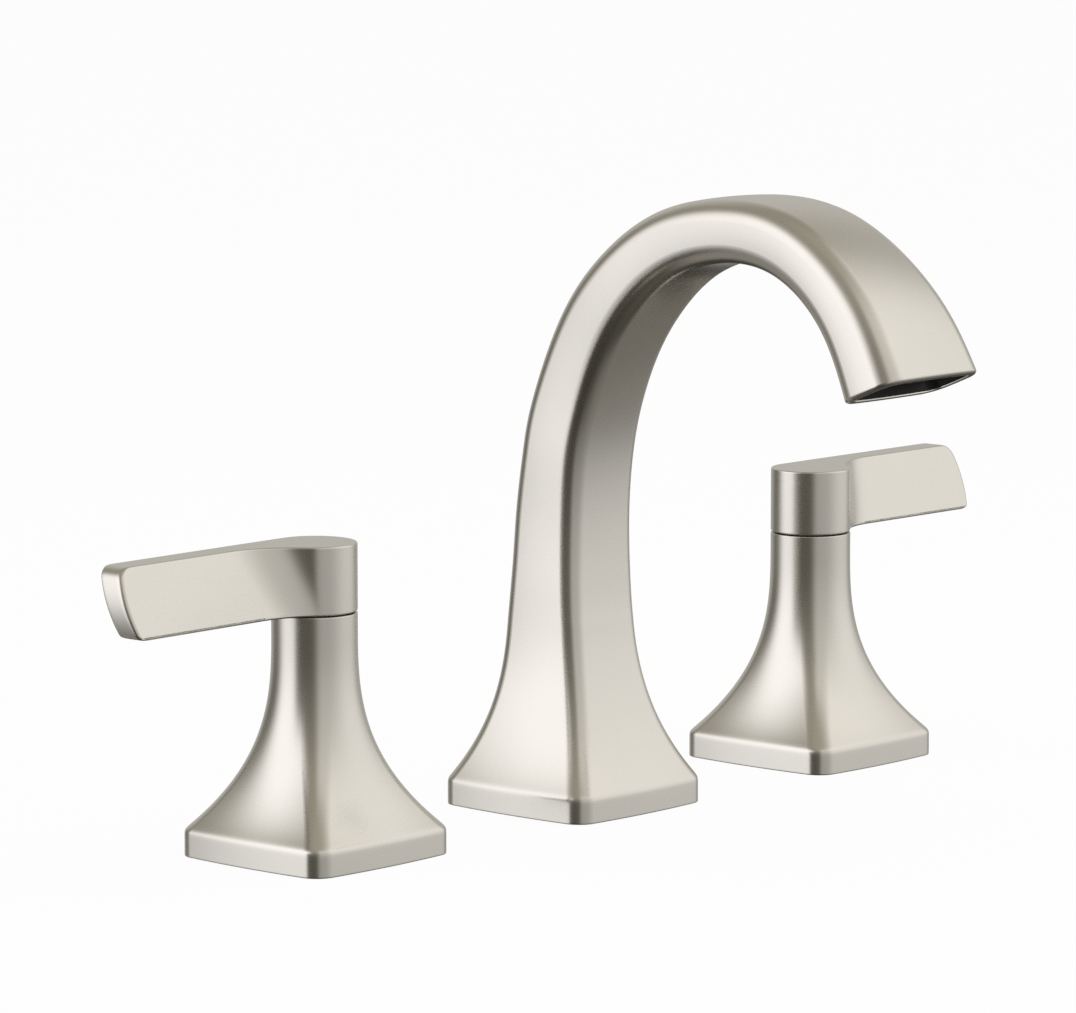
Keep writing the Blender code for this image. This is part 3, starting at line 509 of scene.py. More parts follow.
@dataclass(frozen=True)
class RoundedSquare:
    """Way round a rectangle with round corners: an arc at each corner, then a side to the next corner."""

    corner_steps: int = 10
    side_steps: int = 20

    def sections(self, half: Array, corner: Array, bow: Array) -> Array:
        """Work out the sections of a whole surface.

        A corner's arc is sign (half - corner) + corner (cos t, sin t), and a side runs straight from the end
        of one arc to the start of the next, with its points closer together near its ends. Each point (x, y)
        then moves out by bow (1 - (y / half)^2) x / half, and the same for y.

        Args:
            half: Half sizes along x and y of each section, as rows of two.
            corner: Corner radius of each section.
            bow: How far the middle of a side stands out, for each section.

        Returns:
            Points of (x, y) by section and column, counter-clockwise from the start of the arc at the +X +Y
            corner.
        """
        count = self.corner_steps + self.side_steps
        number, step = np.divmod(np.arange(4 * count), count)
        turn = math.pi / 2 * (number + np.minimum(step, self.corner_steps) / self.corner_steps)
        share = (1 - np.cos(math.pi * np.maximum(step - self.corner_steps, 0) / self.side_steps))[:, None] / 2
        signs = np.array([(1, 1), (-1, 1), (-1, -1), (1, -1)], float)
        lean = signs[number] * (1 - share) + signs[(number + 1) % 4] * share
        arc = np.stack([np.cos(turn), np.sin(turn)], axis=-1)
        corner, bow, edge = corner[:, None, None], bow[:, None, None], half[:, None, :]
        points = (edge - corner) * lean + corner * arc
        return points + bow * (1 - (points[..., ::-1] / edge[..., ::-1]) ** 2) * points / edge


SECTION = RoundedSquare()


@dataclass(frozen=True)
class Foot:
    """Square base plate that flares up into a neck or a column. The bells and the spout share it."""

    half: float = 0.0256
    bow: float = 0.0013
    corner: float = 0.0048
    height: float = 0.0070
    rim: float = 0.0032
    edge_round: float = 0.0006
    edge_ease: float = 0.00035
    toe_round: float = 0.0003
    flare_top: float = 0.0600
    flare_power: float = 2.75
    gasket: float = 0.0020
    recess_top: float = 0.0048

    def share(self, heights: Array) -> Array:
        """Return how much of the plate's shape is left at each height.

        It is ((top - h) / (top - plate)) ^ power, where h is the height, or the plate's own height below the
        plate's edge, with a soft change between the two.
        """
        eased = self.height + self.edge_ease * np.logaddexp(0.0, (heights - self.height) / self.edge_ease)
        rise = np.clip((self.flare_top - eased) / (self.flare_top - self.height), 0.0, 1.0)
        return rise ** self.flare_power

    def outer_rows(self) -> tuple[Array, Array]:
        """Heights and insets of the rows from the toe, up the plate's side and the flare."""
        sine, rest = quarter(6)
        toe_heights, toe_insets = self.toe_round * rest, self.toe_round * (1 - sine)
        side = self.height * np.array([0.08, 0.3, 0.6, 0.75])
        edge = np.linspace(self.height * 0.8, self.height * 1.35, 26)
        flare = edge[-1] + (self.flare_top - edge[-1]) * np.linspace(0.0, 1.0, 64)[1:] ** 1.2
        heights = np.concatenate([toe_heights, side, edge, flare])
        insets = np.concatenate([toe_insets, np.zeros(len(heights) - len(toe_insets))])
        return heights, insets

    def inner_heights(self) -> Array:
        """Heights of the rows down the inside of the flare, which ends above the recess for the gasket."""
        low = self.height + (self.flare_top - self.height) * 0.14
        return np.linspace(self.flare_top, low, 24)

    def plate(self, heights: Array, insets: Array, growth: Array | float = 0.0) -> Array:
        """Sections of the base plate itself.

        Args:
            heights: Height of each section.
            insets: How far it is drawn in.
            growth: What its corner radius gains. Its sides move out by (1 - cos 45) of this, so that the
                middle of each corner stays where it is.

        Returns:
            Points by section and column.
        """
        half = np.repeat((self.half - insets + growth * (1 - math.sqrt(0.5)))[:, None], 2, axis=1)
        corner = np.maximum(self.corner + growth - insets, self.edge_round)
        flat = SECTION.sections(half, corner, np.full(len(insets), self.bow))
        return with_heights(flat, heights)

    def recess(self, above: Array) -> Array:
        """Rows from the last inner row down to the recess under the plate, and out of it."""
        ceiling = self.plate(np.array([self.recess_top]), np.array([self.rim]))
        share = np.linspace(0.0, 1.0, 8)[1:, None, None]
        slope = above[None] * (1 - share) + ceiling * share
        down = self.plate(np.array([self.recess_top * 0.96, self.toe_round, 0.0]),
                          np.array([self.rim, self.rim, self.rim - self.toe_round / 3]))
        return np.concatenate([slope, down])


def with_heights(flat: Array, heights: Array) -> Array:
    """Lift sections of (x, y) points to their heights."""
    lifted = np.broadcast_to(heights[:, None, None], (*flat.shape[:2], 1))
    return np.concatenate([flat, lifted], axis=-1)


def opening_in(rows: Array, radius: float, height: float) -> Array:
    """Row of a round hole, whose points lie in the same directions as those of a section round it."""
    flat = rows[:, :2]
    circle = flat * radius / np.linalg.norm(flat, axis=1)[:, None]
    return with_heights(circle[None], np.array([height]))


@dataclass(frozen=True)
class Gasket:
    """Flat sheet in the recess under a base plate, with a round hole for the shank."""

    foot: Foot = Foot()
    clearance: float = 0.0003
    hole: float = 0.0106
    rounding: float = 0.0002

    def make(self, shop: Workshop, prefix: str, across: float) -> None:
        """Make the gasket: out at its foot, up its edge, in to the hole and down again."""
        wall, top, soft = self.foot.rim + self.clearance, self.foot.gasket, self.rounding
        heights = np.array([0.0, soft / 2, soft, top - soft, top - soft / 2, top])
        insets = wall + np.array([soft, soft / 4, 0.0, 0.0, soft / 4, soft])
        rows = self.foot.plate(heights, insets)
        holes = [opening_in(rows[0], self.hole, height) for height in (top, top - soft, soft, 0.0)]
        grid = np.concatenate([rows, *holes])
        shop.piece(prefix + "_gasket", Body.FIXED, Slot.RUBBER, Place(across).carry(grid))


@dataclass(frozen=True)
class Bell:
    """Hollow bell over a valve: the base plate's rounded square, drawn in to a round neck."""

    foot: Foot = Foot(flare_power=2.89)
    neck: float = 0.01135
    top: float = 0.0645
    wall: float = 0.0015
    lip_round: float = 0.0003
    corner_growth: float = 0.0090

    def rings(self, heights: Array, insets: Array) -> Array:
        """Sections of the bell.

        A plate point at distance d from the axis is scaled by share + (1 - share) neck / d, so the section
        goes from the plate's square to a circle. Its corner radius gains corner_growth (1 - share) ^ 2 on the
        way.
        """
        share = self.foot.share(heights)[:, None]
        rows = self.foot.plate(heights, insets, self.corner_growth * (1 - share[:, 0]) ** 2)
        flat = rows[..., :2]
        reach = np.linalg.norm(flat, axis=-1)
        scale = share + (1 - share) * (self.neck - insets)[:, None] / reach
        return np.concatenate([flat * scale[..., None], rows[..., 2:]], axis=-1)

    def make(self, shop: Workshop, prefix: str, across: float) -> None:
        """Make the bell as one skin: up the outside, over the lip and down the inside."""
        heights, insets = self.foot.outer_rows()
        neck = np.linspace(self.foot.flare_top, self.top - self.lip_round * 1.2, 6)[1:]
        sine, rest = quarter(8)
        lip_heights, lip_insets = self.top - self.lip_round * (1 - sine), self.lip_round * rest
        inner_round = self.lip_round / 2
        far_heights = self.top - inner_round * rest
        far_insets = self.wall - inner_round * (1 - sine)
        inside = self.foot.inner_heights()
        outer = self.rings(np.concatenate([heights, neck, lip_heights]),
                           np.concatenate([insets, np.zeros(len(neck)), lip_insets]))
        far = np.concatenate([far_heights, [(self.top + self.foot.flare_top) / 2], inside])
        inner_insets = np.concatenate([far_insets, np.full(len(far) - len(far_insets), self.wall)])
        inner = self.rings(far, inner_insets)
        grid = np.concatenate([outer, inner, self.foot.recess(inner[-1])])
        shop.piece(prefix + "_bell", Body.FIXED, Slot.NICKEL, Place(across).carry(grid))


@dataclass(frozen=True)
class Lever:
    """Lever handle: a round hub and a blade that leans forwards, bored from below for its adapter.

    The guards are how far inside its upper and lower edges two more rows lie, which keep the flats beside
    them flat under smooth shading. The steps are points on each stretch of its plan.
    """

    reach: float = 0.0692
    radius: float = 0.01135
    floor: float = 0.0647
    height: float = 0.0183
    bore_radius: float = 0.0075
    roof: float = 0.0042
    thickness: float = 0.0075
    lean: float = 0.0073
    swing: float = 0.0147
    fillet: float = 0.0240
    bulge: float = 0.0250
    top_corner: float = 0.0030
    bottom_corner: float = 0.0015
    tip_front_round: float = 0.0013
    tip_back_round: float = 0.0006
    edge_round: float = 0.0005
    under_round: float = 0.0009
    screw_hole: float = 0.0023
    screw_height: float = 0.0060
    screw_radius: float = 0.0020
    screw_bevel: float = 0.0003
    screw_recess: float = 0.0004
    socket_radius: float = 0.0009
    socket_depth: float = 0.0018
    bore_round: float = 0.0002
    bore_bevel: float = 0.0003
    under_rim: float = 0.0021
    guards: tuple[float, float] = (0.0006, 0.00008)
    hub_steps: int = 96
    fillet_steps: int = 26
    front_steps: int = 14
    tip_front_steps: int = 9
    tip_steps: int = 6
    tip_back_steps: int = 7
    back_steps: int = 22

    @property
    def top(self) -> float:
        """Height of the hub's top."""
        return self.floor + self.height

    @property
    def bore_roof(self) -> float:
        """Height of the top of the bore."""
        return self.top - self.roof

    def tip(self, heights: Array) -> Array:
        """Length of the blade at each height: a bulging end whose two corners are arcs."""
        offset = heights - (self.floor + self.top) / 2
        length = self.reach - self.bulge + np.sqrt(self.bulge ** 2 - offset ** 2)
        for corner, inward in ((self.top_corner, self.top - heights),
                               (self.bottom_corner, heights - self.floor)):
            drop = np.clip(corner - inward, 0.0, corner)
            length = length - (corner - np.sqrt(corner ** 2 - drop ** 2))
        return length

    def outlines(self, heights: Array, insets: Array) -> Array:
        """Plans of the lever, pointing along +X, at heights and drawn in by insets.

        Each goes round the hub's arc, along the hollow arc that touches both the hub and the blade's front,
        along the front, round the tip's two small arcs, and back along the blade's rear. Beyond the hub y
        then loses swing (x - radius), so that the blade points slightly forwards.
        """
        hub, fillet = self.radius - insets, self.fillet + insets
        side = self.lean * (self.top - heights) / self.height
        back, front = self.radius - side - insets, self.radius - side - self.thickness + insets
        tip = self.tip(heights) - insets
        start = np.arcsin(np.minimum(back / hub, 1.0))
        depth = front - fillet
        along = np.sqrt((hub + fillet) ** 2 - depth ** 2)
        meet = np.arctan2(depth, along)
        quarter_turn, zero = np.full(len(hub), math.pi / 2), np.zeros(len(hub))
        front_end, back_end = tip - self.tip_front_round, tip - self.tip_back_round
        front_round, back_round = zero + self.tip_front_round, zero + self.tip_back_round
        parts = (
            self.arc(zero, zero, hub, start, math.tau + meet, self.hub_steps),
            self.arc(along, depth, fillet, math.pi + meet, quarter_turn, self.fillet_steps)[:, 1:],
            self.line(along, front_end, front, self.front_steps),
            self.arc(front_end, front + front_round, front_round, -quarter_turn, zero, self.tip_front_steps),
            self.line(tip, None, (front + front_round, back - back_round), self.tip_steps),
            self.arc(back_end, back - back_round, back_round, zero, quarter_turn, self.tip_back_steps),
            self.line(back_end, hub * np.cos(start), back, self.back_steps),
        )
        flat = np.concatenate(parts, axis=1)
        flat[..., 1] -= self.swing * np.maximum(flat[..., 0] - self.radius, 0.0)
        return with_heights(flat, heights)

    @staticmethod
    def arc(x: Array, y: Array, radius: Array, start: Array, end: Array, count: int) -> Array:
        """Arcs about the centres (x, y) from one direction to another, both ends included."""
        turns = start[:, None] + (end - start)[:, None] * np.linspace(0.0, 1.0, count)
        return np.stack([x[:, None] + radius[:, None] * np.cos(turns),
                         y[:, None] + radius[:, None] * np.sin(turns)], axis=-1)

    @staticmethod
    def line(start: Array, end: Array | None, level: Any, count: int) -> Array:
        """Straight stretches between two places, both ends left out.

        Args:
            start: Where each begins along x, or its only x where end is None.
            end: Where each ends along x.
            level: Its y, or the pair of y where it starts and ends.
            count: Points on each stretch.

        Returns:
            Points of (x, y) by section.
        """
        share = np.linspace(0.0, 1.0, count + 2)[None, 1:-1]
        if end is None:
            low, high = level
            x, y = start[:, None], low[:, None] + (high - low)[:, None] * share
        else:
            x, y = start[:, None] + (end - start)[:, None] * share, level[:, None]
        return np.stack(np.broadcast_arrays(x, y), axis=-1)

    def side_rows(self) -> tuple[Array, Array]:
        """Heights and insets of the rows up the lever's sides, with its lower and upper edges rounded."""
        sine, rest = quarter(5)
        low = self.floor + self.under_round * rest
        low_insets = self.under_round * (1 - sine)
        corner = self.floor + self.bottom_corner * np.array([0.35, 0.5, 0.7, 0.85, 1.0])
        high_corner = self.top - self.top_corner * np.array([1.0, 0.85, 0.7, 0.55, 0.4, 0.28, 0.2])
        middle = np.linspace(corner[-1], high_corner[0], 14)[1:-1]
        sine, rest = quarter(9)
        high = self.top - self.edge_round * (1 - sine)
        heights = np.concatenate([low, corner, middle, high_corner, high])
        insets = np.concatenate([low_insets, np.zeros(len(corner) + len(middle) + len(high_corner)),
                                 self.edge_round * rest])
        return heights, insets

    def inner_circle(self, outline: Array, radius: float) -> Array:
        """Points of a circle inside the hub, matched with a plan's so that no line between them folds."""
        x, y = outline[:, 0], outline[:, 1]
        on_hub = np.hypot(x, y) < self.radius * 1.001
        turn = np.arctan2(y, x)
        last, steps = int(np.flatnonzero(on_hub)[-1]), self.fillet_steps
        beyond = np.arcsin(np.clip(y / self.radius, -1.0, 1.0))
        turn = np.where(on_hub, turn, beyond)
        turn[last + 1:last + steps] = np.linspace(turn[last], beyond[last + steps], steps + 1)[1:-1]
        return np.stack([radius * np.cos(turn), radius * np.sin(turn)], axis=-1)

    def grid(self, outward: int) -> Array:
        """Points of the lever: down from the bore's roof, out under the hub, up its sides, over its top."""
        heights, insets = self.side_rows()
        sides, bore, roof = self.outlines(heights, insets), self.bore_radius, self.bore_roof
        bore_rows = ((bore * 0.5, roof), (bore * 0.98, roof), (bore, roof - self.bore_round),
                     (bore, self.floor + self.bore_bevel), (bore + self.bore_round, self.floor),
                     (self.radius - self.under_rim, self.floor))
        under = [with_heights(self.inner_circle(sides[0], radius)[None], np.array([height]))
                 for radius, height in bore_rows]
        rim = self.outlines(np.full(2, self.floor), self.under_round + np.array(self.guards))
        top = self.outlines(np.full(2, self.top), self.edge_round + np.array(self.guards[::-1]))
        grid = np.concatenate([*under, rim, sides, top])
        if outward < 0:
            grid = grid[:, ::-1]
        return grid * (outward, 1, 1)

    def make(self, shop: Workshop, prefix: str, body: Body, outward: int, across: float) -> None:
        """Make the lever with its screw hole, and the set screw in it.

        Args:
            shop: Makes the pieces.
            prefix: Start of the nodes' names.
            body: The body that turns.
            outward: Side that the blade points to, -1 or 1.
            across: Place of the axis along X.
        """
        lever = shop.mesh(prefix + "_lever_finished", Place(across).carry(self.grid(outward)),
                          (End.POINT, End.FLAT))
        hole = turned([(0.0, self.bore_radius / 2), (self.screw_hole, self.bore_radius / 2),
                       (self.screw_hole, self.radius * 2), (0.0, self.radius * 2)], closed=False, columns=48)
        hole_place = Place(across, self.floor + self.screw_height, Axis.BACK)
        cutter = shop.mesh("screw_hole_cutter", hole_place.carry(hole), (End.POINT, End.POINT))
        cut_out(lever, cutter)
        shop.dress(lever, prefix + "_lever", body, Slot.NICKEL)
        shop.piece(prefix + "_set_screw", body, Slot.STEEL, hole_place.carry(self.screw()),
                   (End.POINT, End.POINT))

    def screw(self) -> Array:
        """Headless screw along Z with a hexagon socket, whose edge is softened a little."""
        start, end = self.bore_radius, self.radius - self.screw_recess
        side, bevel, soft = self.screw_radius, self.screw_bevel, self.screw_bevel / 3
        turns = even_turns(48)
        hexagon, depth = flat_sided(self.socket_radius, 6, turns), self.socket_depth
        rounds = ((start, side * 0.6), (start, side - bevel), (start + bevel, side), (end - bevel, side),
                  (end - soft, side - soft), (end, side - bevel))
        sockets = ((end, soft), (end - soft, 0.0), (end - depth * 0.95, 0.0), (end - depth, 0.0))
        radii = [np.full(len(turns), radius) for _, radius in rounds]
        radii += [hexagon + wider for _, wider in sockets]
        heights = np.array([height for height, _ in rounds + sockets])
        return around(np.array(radii), heights[:, None], turns)


def cut_out(piece: bpy.types.Object, cutter: bpy.types.Object) -> None:
    """Cut one object's shape out of another for good, and remove the cutter."""
    cut = piece.modifiers.new("hole", "BOOLEAN")
    cut.operation, cut.object, cut.solver = "DIFFERENCE", cutter, "EXACT"
    graph = bpy.context.evaluated_depsgraph_get()
    whole = bpy.data.meshes.new_from_object(piece.evaluated_get(graph))
    piece.modifiers.clear()
    old, piece.data = piece.data, whole
    bpy.data.meshes.remove(old)
    whole.name = piece.name
    bpy.data.objects.remove(cutter)


@dataclass(frozen=True)
class DeckFixings:
    """Washers and wing nut that clamp a shank from under the deck.

    A wing's half width, with its side slope, and the slope alone are in degrees round the axis.
    """

    deck: float = 0.030
    clearance: float = 0.0003
    shank: float = 0.0103
    washer_radius: float = 0.0190
    rubber_height: float = 0.0030
    metal_height: float = 0.0015
    nut_height: float = 0.0095
    nut_radius: float = 0.0150
    wing_reach: float = 0.0210
    wings: int = 4
    wing_half: float = 18.0
    wing_slope: float = 10.0
    rib_depth: float = 0.0004
    ribs: int = 40
    nut_round: float = 0.0007
    thread_pitch: float = 0.0018
    thread_depth: float = 0.0006

    @property
    def rubber_floor(self) -> float:
        """Height of the rubber washer's underside."""
        return -self.deck - self.rubber_height

    @property
    def metal_floor(self) -> float:
        """Height of the metal washer's underside."""
        return self.rubber_floor - self.clearance - self.metal_height

    @property
    def nut_floor(self) -> float:
        """Height of the lock nut's underside."""
        return self.metal_floor - self.clearance - self.nut_height

    def threaded_bore(self, heights: Array, turns: Array) -> Array:
        """Radii of the bore of a nut on the shank, by row and column."""
        wave = thread_wave(heights, turns, self.thread_pitch)
        return self.shank + self.clearance + self.thread_depth * wave

    def wing_nut(self) -> Array:
        """Lock nut with wings.

        The outer radius is the nut's, less fine ribs, plus a smooth step up to the wings' reach within a few
        degrees of each wing's middle. Rounded upper and lower edges draw it in. The bore carries a thread.
        """
        floor, top, soft = self.nut_floor, self.nut_floor + self.nut_height, self.nut_round
        turns, spacing = even_turns(192), math.tau / self.wings
        off_wing = np.abs((turns + spacing / 2) % spacing - spacing / 2)
        rise = (math.radians(self.wing_half) - off_wing) / math.radians(self.wing_slope)
        rise = np.clip(rise, 0.0, 1.0)
        wing = rise * rise * (3 - 2 * rise)
        ribs = self.rib_depth * (0.5 - 0.5 * np.cos(self.ribs * turns)) * (1 - wing)
        outside = self.nut_radius - ribs + (self.wing_reach - self.nut_radius) * wing
        sine, rest = quarter(6)
        insets = np.concatenate([soft * (1 - sine), soft * rest])
        bore_heights = np.linspace(top, floor, 42)
        bore = self.threaded_bore(bore_heights, turns)
        bore[[0, -1]] = self.shank + self.clearance + self.thread_depth
        radius = np.concatenate([outside[None, :] - insets[:, None], bore])
        heights = np.concatenate([floor + soft * rest, top - soft * (1 - sine), bore_heights])
        return around(radius, heights[:, None], turns)

    def make(self, shop: Workshop, prefix: str, across: float) -> None:
        """Make the two washers and the lock nut of one shank."""
        bore, rim, place = self.shank + self.clearance, self.washer_radius, Place(across)
        metal_top = self.metal_floor + self.metal_height
        rubber = turned(ring(bore, rim, self.rubber_floor, -self.deck), rounding=0.0006, columns=96)
        metal = turned(ring(bore, rim, self.metal_floor, metal_top), rounding=0.0002, columns=96)
        shop.piece(prefix + "_rubber_washer", Body.FIXED, Slot.RUBBER, place.carry(rubber))
        shop.piece(prefix + "_metal_washer", Body.FIXED, Slot.STEEL, place.carry(metal))
        shop.piece(prefix + "_lock_nut", Body.FIXED, Slot.PLASTIC, place.carry(self.wing_nut()))


@dataclass(frozen=True)
class Valve:
    """Quarter-turn valve: its brass body, its cartridge stack and the stem that drives it."""

    fixings: DeckFixings = DeckFixings()
    lever: Lever = Lever()
    gasket: float = 0.0020
    clearance: float = 0.0003
    shank: float = 0.0103
    manifold: float = 0.0125
    manifold_height: float = 0.0190
    chamfer: float = 0.0015
    below_nut: float = 0.0030
    inlet_length: float = 0.0140
    waterway: float = 0.0050
    head: float = 0.0090
    shank_runout: float = 0.0015
    head_runout: tuple[float, float] = (0.0002, 0.0008)
    head_pitch: float = 0.0010
    head_thread: float = 0.0004
    socket: float = 0.0073
    socket_floor: float = 0.0080
    shoulder: float = 0.0200
    head_top: float = 0.0330
    port_radius: float = 0.0070
    port_bore: float = 0.0040
    port_length: float = 0.0240
    port_socket: float = 0.0030
    port_rib: float = 0.0012
    seal_height: float = 0.0027
    seal_bore: float = 0.0042
    disc_height: float = 0.0025
    cartridge_wall: float = 0.0010
    flange_height: float = 0.0017
    neck_radius: float = 0.0049
    neck_top: float = 0.0500
    groove_depth: float = 0.0011
    groove_height: float = 0.0020
    groove_base: float = 0.0240
    stem_radius: float = 0.0032
    stem_chamfer: float = 0.0006
    foot_radius: float = 0.0050
    foot_height: float = 0.0030
    spline_radius: float = 0.0040
    spline_length: float = 0.0120
    splines: int = 20
    spline_depth: float = 0.0004
    clip_radius: float = 0.0050
    clip_height: float = 0.0010
    clip_gap: float = 40.0
    bonnet_radius: float = 0.0107
    bonnet_base: float = 0.0220
    bonnet_lip: float = 0.0016
    bonnet_chamfer: float = 0.0006
    adapter_skirt: float = 0.0030
    glide_depth: float = 0.0030
    nut_radius: float = 0.0165
    nut_height: float = 0.0045
    nut_sides: int = 12
    nut_chamfer: float = 0.0006
    bell_bore: float = 0.00985

    @property
    def manifold_top(self) -> float:
        """Height of the manifold's upper face."""
        return self.fixings.nut_floor - self.below_nut

    @property
    def manifold_floor(self) -> float:
        """Height of the manifold's lower face."""
        return self.manifold_top - self.manifold_height

    @property
    def bore_height(self) -> float:
        """Height of the side port's axis."""
        return (self.manifold_floor + self.manifold_top) / 2

    @property
    def seal_top(self) -> float:
        """Height of the seat seal's upper face."""
        return self.socket_floor + self.clearance + self.seal_height

    @property
    def lower_disc_floor(self) -> float:
        """Height of the lower disc's underside."""
        return self.seal_top + self.clearance

    @property
    def stem_foot_floor(self) -> float:
        """Height of the underside of the stem's foot, above both discs."""
        return self.lower_disc_floor + 2 * (self.disc_height + self.clearance)

    @property
    def chamber_top(self) -> float:
        """Height of the roof of the cartridge's chamber."""
        return self.stem_foot_floor + self.foot_height + self.clearance

    @property
    def flange_floor(self) -> float:
        """Height of the underside of the cartridge's flange."""
        return self.head_top + self.clearance

    @property
    def flange_top(self) -> float:
        """Height of the upper face of the cartridge's flange."""
        return self.flange_floor + self.flange_height

    @property
    def adapter_top(self) -> float:
        """Height of the adapter's top, under the roof of the lever's bore."""
        return self.lever.bore_roof - self.clearance

    def body(self) -> Array:
        """Brass body: inlet thread, manifold, threaded shank and cartridge socket."""
        inlet_floor = self.manifold_floor - self.inlet_length
        outline = [
            (self.waterway, inlet_floor),
            (self.shank - self.chamfer / 2, inlet_floor),
            (self.shank, inlet_floor + self.chamfer / 2),
            (self.shank, self.manifold_floor),
            (self.manifold - self.chamfer, self.manifold_floor),
            (self.manifold, self.manifold_floor + self.chamfer),
            (self.manifold, self.manifold_top - self.chamfer),
            (self.manifold - self.chamfer, self.manifold_top),
            (self.shank, self.manifold_top),
            (self.shank, self.shoulder),
            (self.head, self.shoulder + self.shank - self.head),
            (self.head, self.head_top),
            (self.socket, self.head_top),
            (self.socket, self.socket_floor),
            (self.waterway, self.socket_floor),
        ]
        head_low, head_high = self.head_runout
        threads = (
            Thread(self.shank, inlet_floor + RUNOUT, self.manifold_floor - RUNOUT),
            Thread(self.shank, self.manifold_top + self.shank_runout, self.shoulder - self.shank_runout),
            Thread(self.head, self.bonnet_base + head_low, self.head_top - head_high, self.head_pitch,
                   self.head_thread),
        )
        return turned(outline, rounding=0.0003, columns=72, threads=threads)

    def port_cutter(self) -> Array:
        """Stepped bore in the side of the manifold."""
        seat = self.manifold - self.port_socket
        return turned([(0.0, 0.0), (self.port_bore, 0.0), (self.port_bore, seat), (self.port_radius, seat),
                       (self.port_radius, self.manifold * 2), (0.0, self.manifold * 2)],
                      rounding=0.00005, columns=48, closed=False)

    def side_port(self) -> Array:
        """Ribbed nipple that a hose pushes onto."""
        start = self.manifold - self.port_socket + self.clearance
        middle, end = start + self.port_length / 2, start + self.port_length
        body = self.port_radius - self.clearance
        neck, rib = body - self.port_rib, self.port_rib
        barb = (middle + end) / 2
        return turned([(self.port_bore, start), (body, start), (body, middle), (neck - rib, middle),
                       (neck, barb), (neck - rib, barb), (neck - rib / 2, end - rib), (neck - rib, end),
                       (self.port_bore, end)], rounding=0.0003, columns=56)

    def deck_nut(self) -> Array:
        """Flat-sided nut with turned-off corners.

        The radius is that of the flats, or that of a cone near each face where it is less. The cone widens by
        two for each step away from the face. The bore carries a thread.
        """
        floor, turns = self.gasket + self.clearance, even_turns(144)
        flats = flat_sided(self.nut_radius, self.nut_sides, turns)
        shares = np.concatenate([np.linspace(0.0, 0.2, 6), np.linspace(0.3, 0.7, 3),
                                 np.linspace(0.8, 1.0, 6)])
        from_face = np.minimum(shares, 1 - shares) * self.nut_height
        cone = self.nut_radius * math.cos(math.pi / self.nut_sides) - self.nut_chamfer + from_face * 2.0
        outside = np.minimum(flats[None, :], cone[:, None])
        bore_heights = np.linspace(floor + self.nut_height, floor, 24)
        radius = np.concatenate([outside, self.fixings.threaded_bore(bore_heights, turns)])
        heights = np.concatenate([floor + self.nut_height * shares, bore_heights])
        return around(radius, heights[:, None], turns)

    def cartridge(self) -> Array:
        """Cartridge body: chamber for the discs, sealing groove, clamping flange and the stem's guide."""
        outside = self.socket - self.clearance
        guide = self.stem_radius + self.clearance
        groove_top = self.groove_base + self.groove_height
        inside = outside - self.cartridge_wall
        return turned([(inside, self.lower_disc_floor), (outside, self.lower_disc_floor),
                       (outside, self.groove_base), (outside - self.groove_depth, self.groove_base),
                       (outside - self.groove_depth, groove_top), (outside, groove_top),
                       (outside, self.flange_floor), (self.head, self.flange_floor),
                       (self.head, self.flange_top), (self.neck_radius, self.flange_top),
                       (self.neck_radius, self.neck_top), (guide, self.neck_top),
                       (guide, self.chamber_top), (inside, self.chamber_top)], rounding=0.0002)

    def cartridge_ring(self) -> Array:
        """Rubber ring with a round section in the cartridge's groove."""
        inner = self.socket - self.clearance - self.groove_depth + self.clearance / 2
        outer = self.socket - self.clearance / 2
        centre, half = self.groove_base + self.groove_height / 2, self.groove_height / 2 - self.clearance
        section = np.linspace(-math.pi / 2, math.pi * 1.5, 17)[:-1, None]
        radius = (inner + outer) / 2 + (outer - inner) / 2 * np.cos(section)
        return around(radius, centre + half * np.sin(section), even_turns(64))

    def bonnet(self) -> Array:
        """Bonnet nut that screws onto the body and clamps the cartridge's flange."""
        thread, lip_floor = self.head + self.clearance, self.flange_top + self.clearance
        lip_top, neck = lip_floor + self.bonnet_lip, self.neck_radius + self.clearance
        outside, chamfer = self.bonnet_radius, self.bonnet_chamfer
        return turned([(thread, self.bonnet_base), (outside, self.bonnet_base), (outside, lip_top - chamfer),
                       (outside - chamfer, lip_top), (neck, lip_top), (neck, lip_floor), (thread, lip_floor)],
                      rounding=0.0002)

    def stem(self) -> Array:
        """Stem with a foot, a smooth shaft and a splined top.

        Over the splines the radius loses depth (1 - cos(n t)) / 2, for n splines.
        """
        floor, top = self.stem_foot_floor, self.adapter_top - self.clearance
        spline_floor = top - self.spline_length
        foot_top = floor + self.foot_height
        grid = turned([(0.0, floor), (self.foot_radius, floor), (self.foot_radius, foot_top),
                       (self.stem_radius, foot_top), (self.stem_radius, spline_floor),
                       (self.spline_radius, spline_floor + self.spline_radius - self.stem_radius),
                       (self.spline_radius, top - self.stem_chamfer),
                       (self.spline_radius - self.stem_chamfer, top), (0.0, top)],
                      rounding=0.0002, columns=160, closed=False)
        radius = np.linalg.norm(grid[..., :2], axis=-1)
        splined = (grid[..., 2] > spline_floor) & (radius > self.spline_radius * 0.9)
        ridges = 0.5 - 0.5 * np.cos(self.splines * even_turns(grid.shape[1]))
        drop = splined * self.spline_depth * ridges
        scale = (1 - drop / np.maximum(radius, self.spline_depth))[..., None]
        return np.concatenate([grid[..., :2] * scale, grid[..., 2:]], axis=-1)

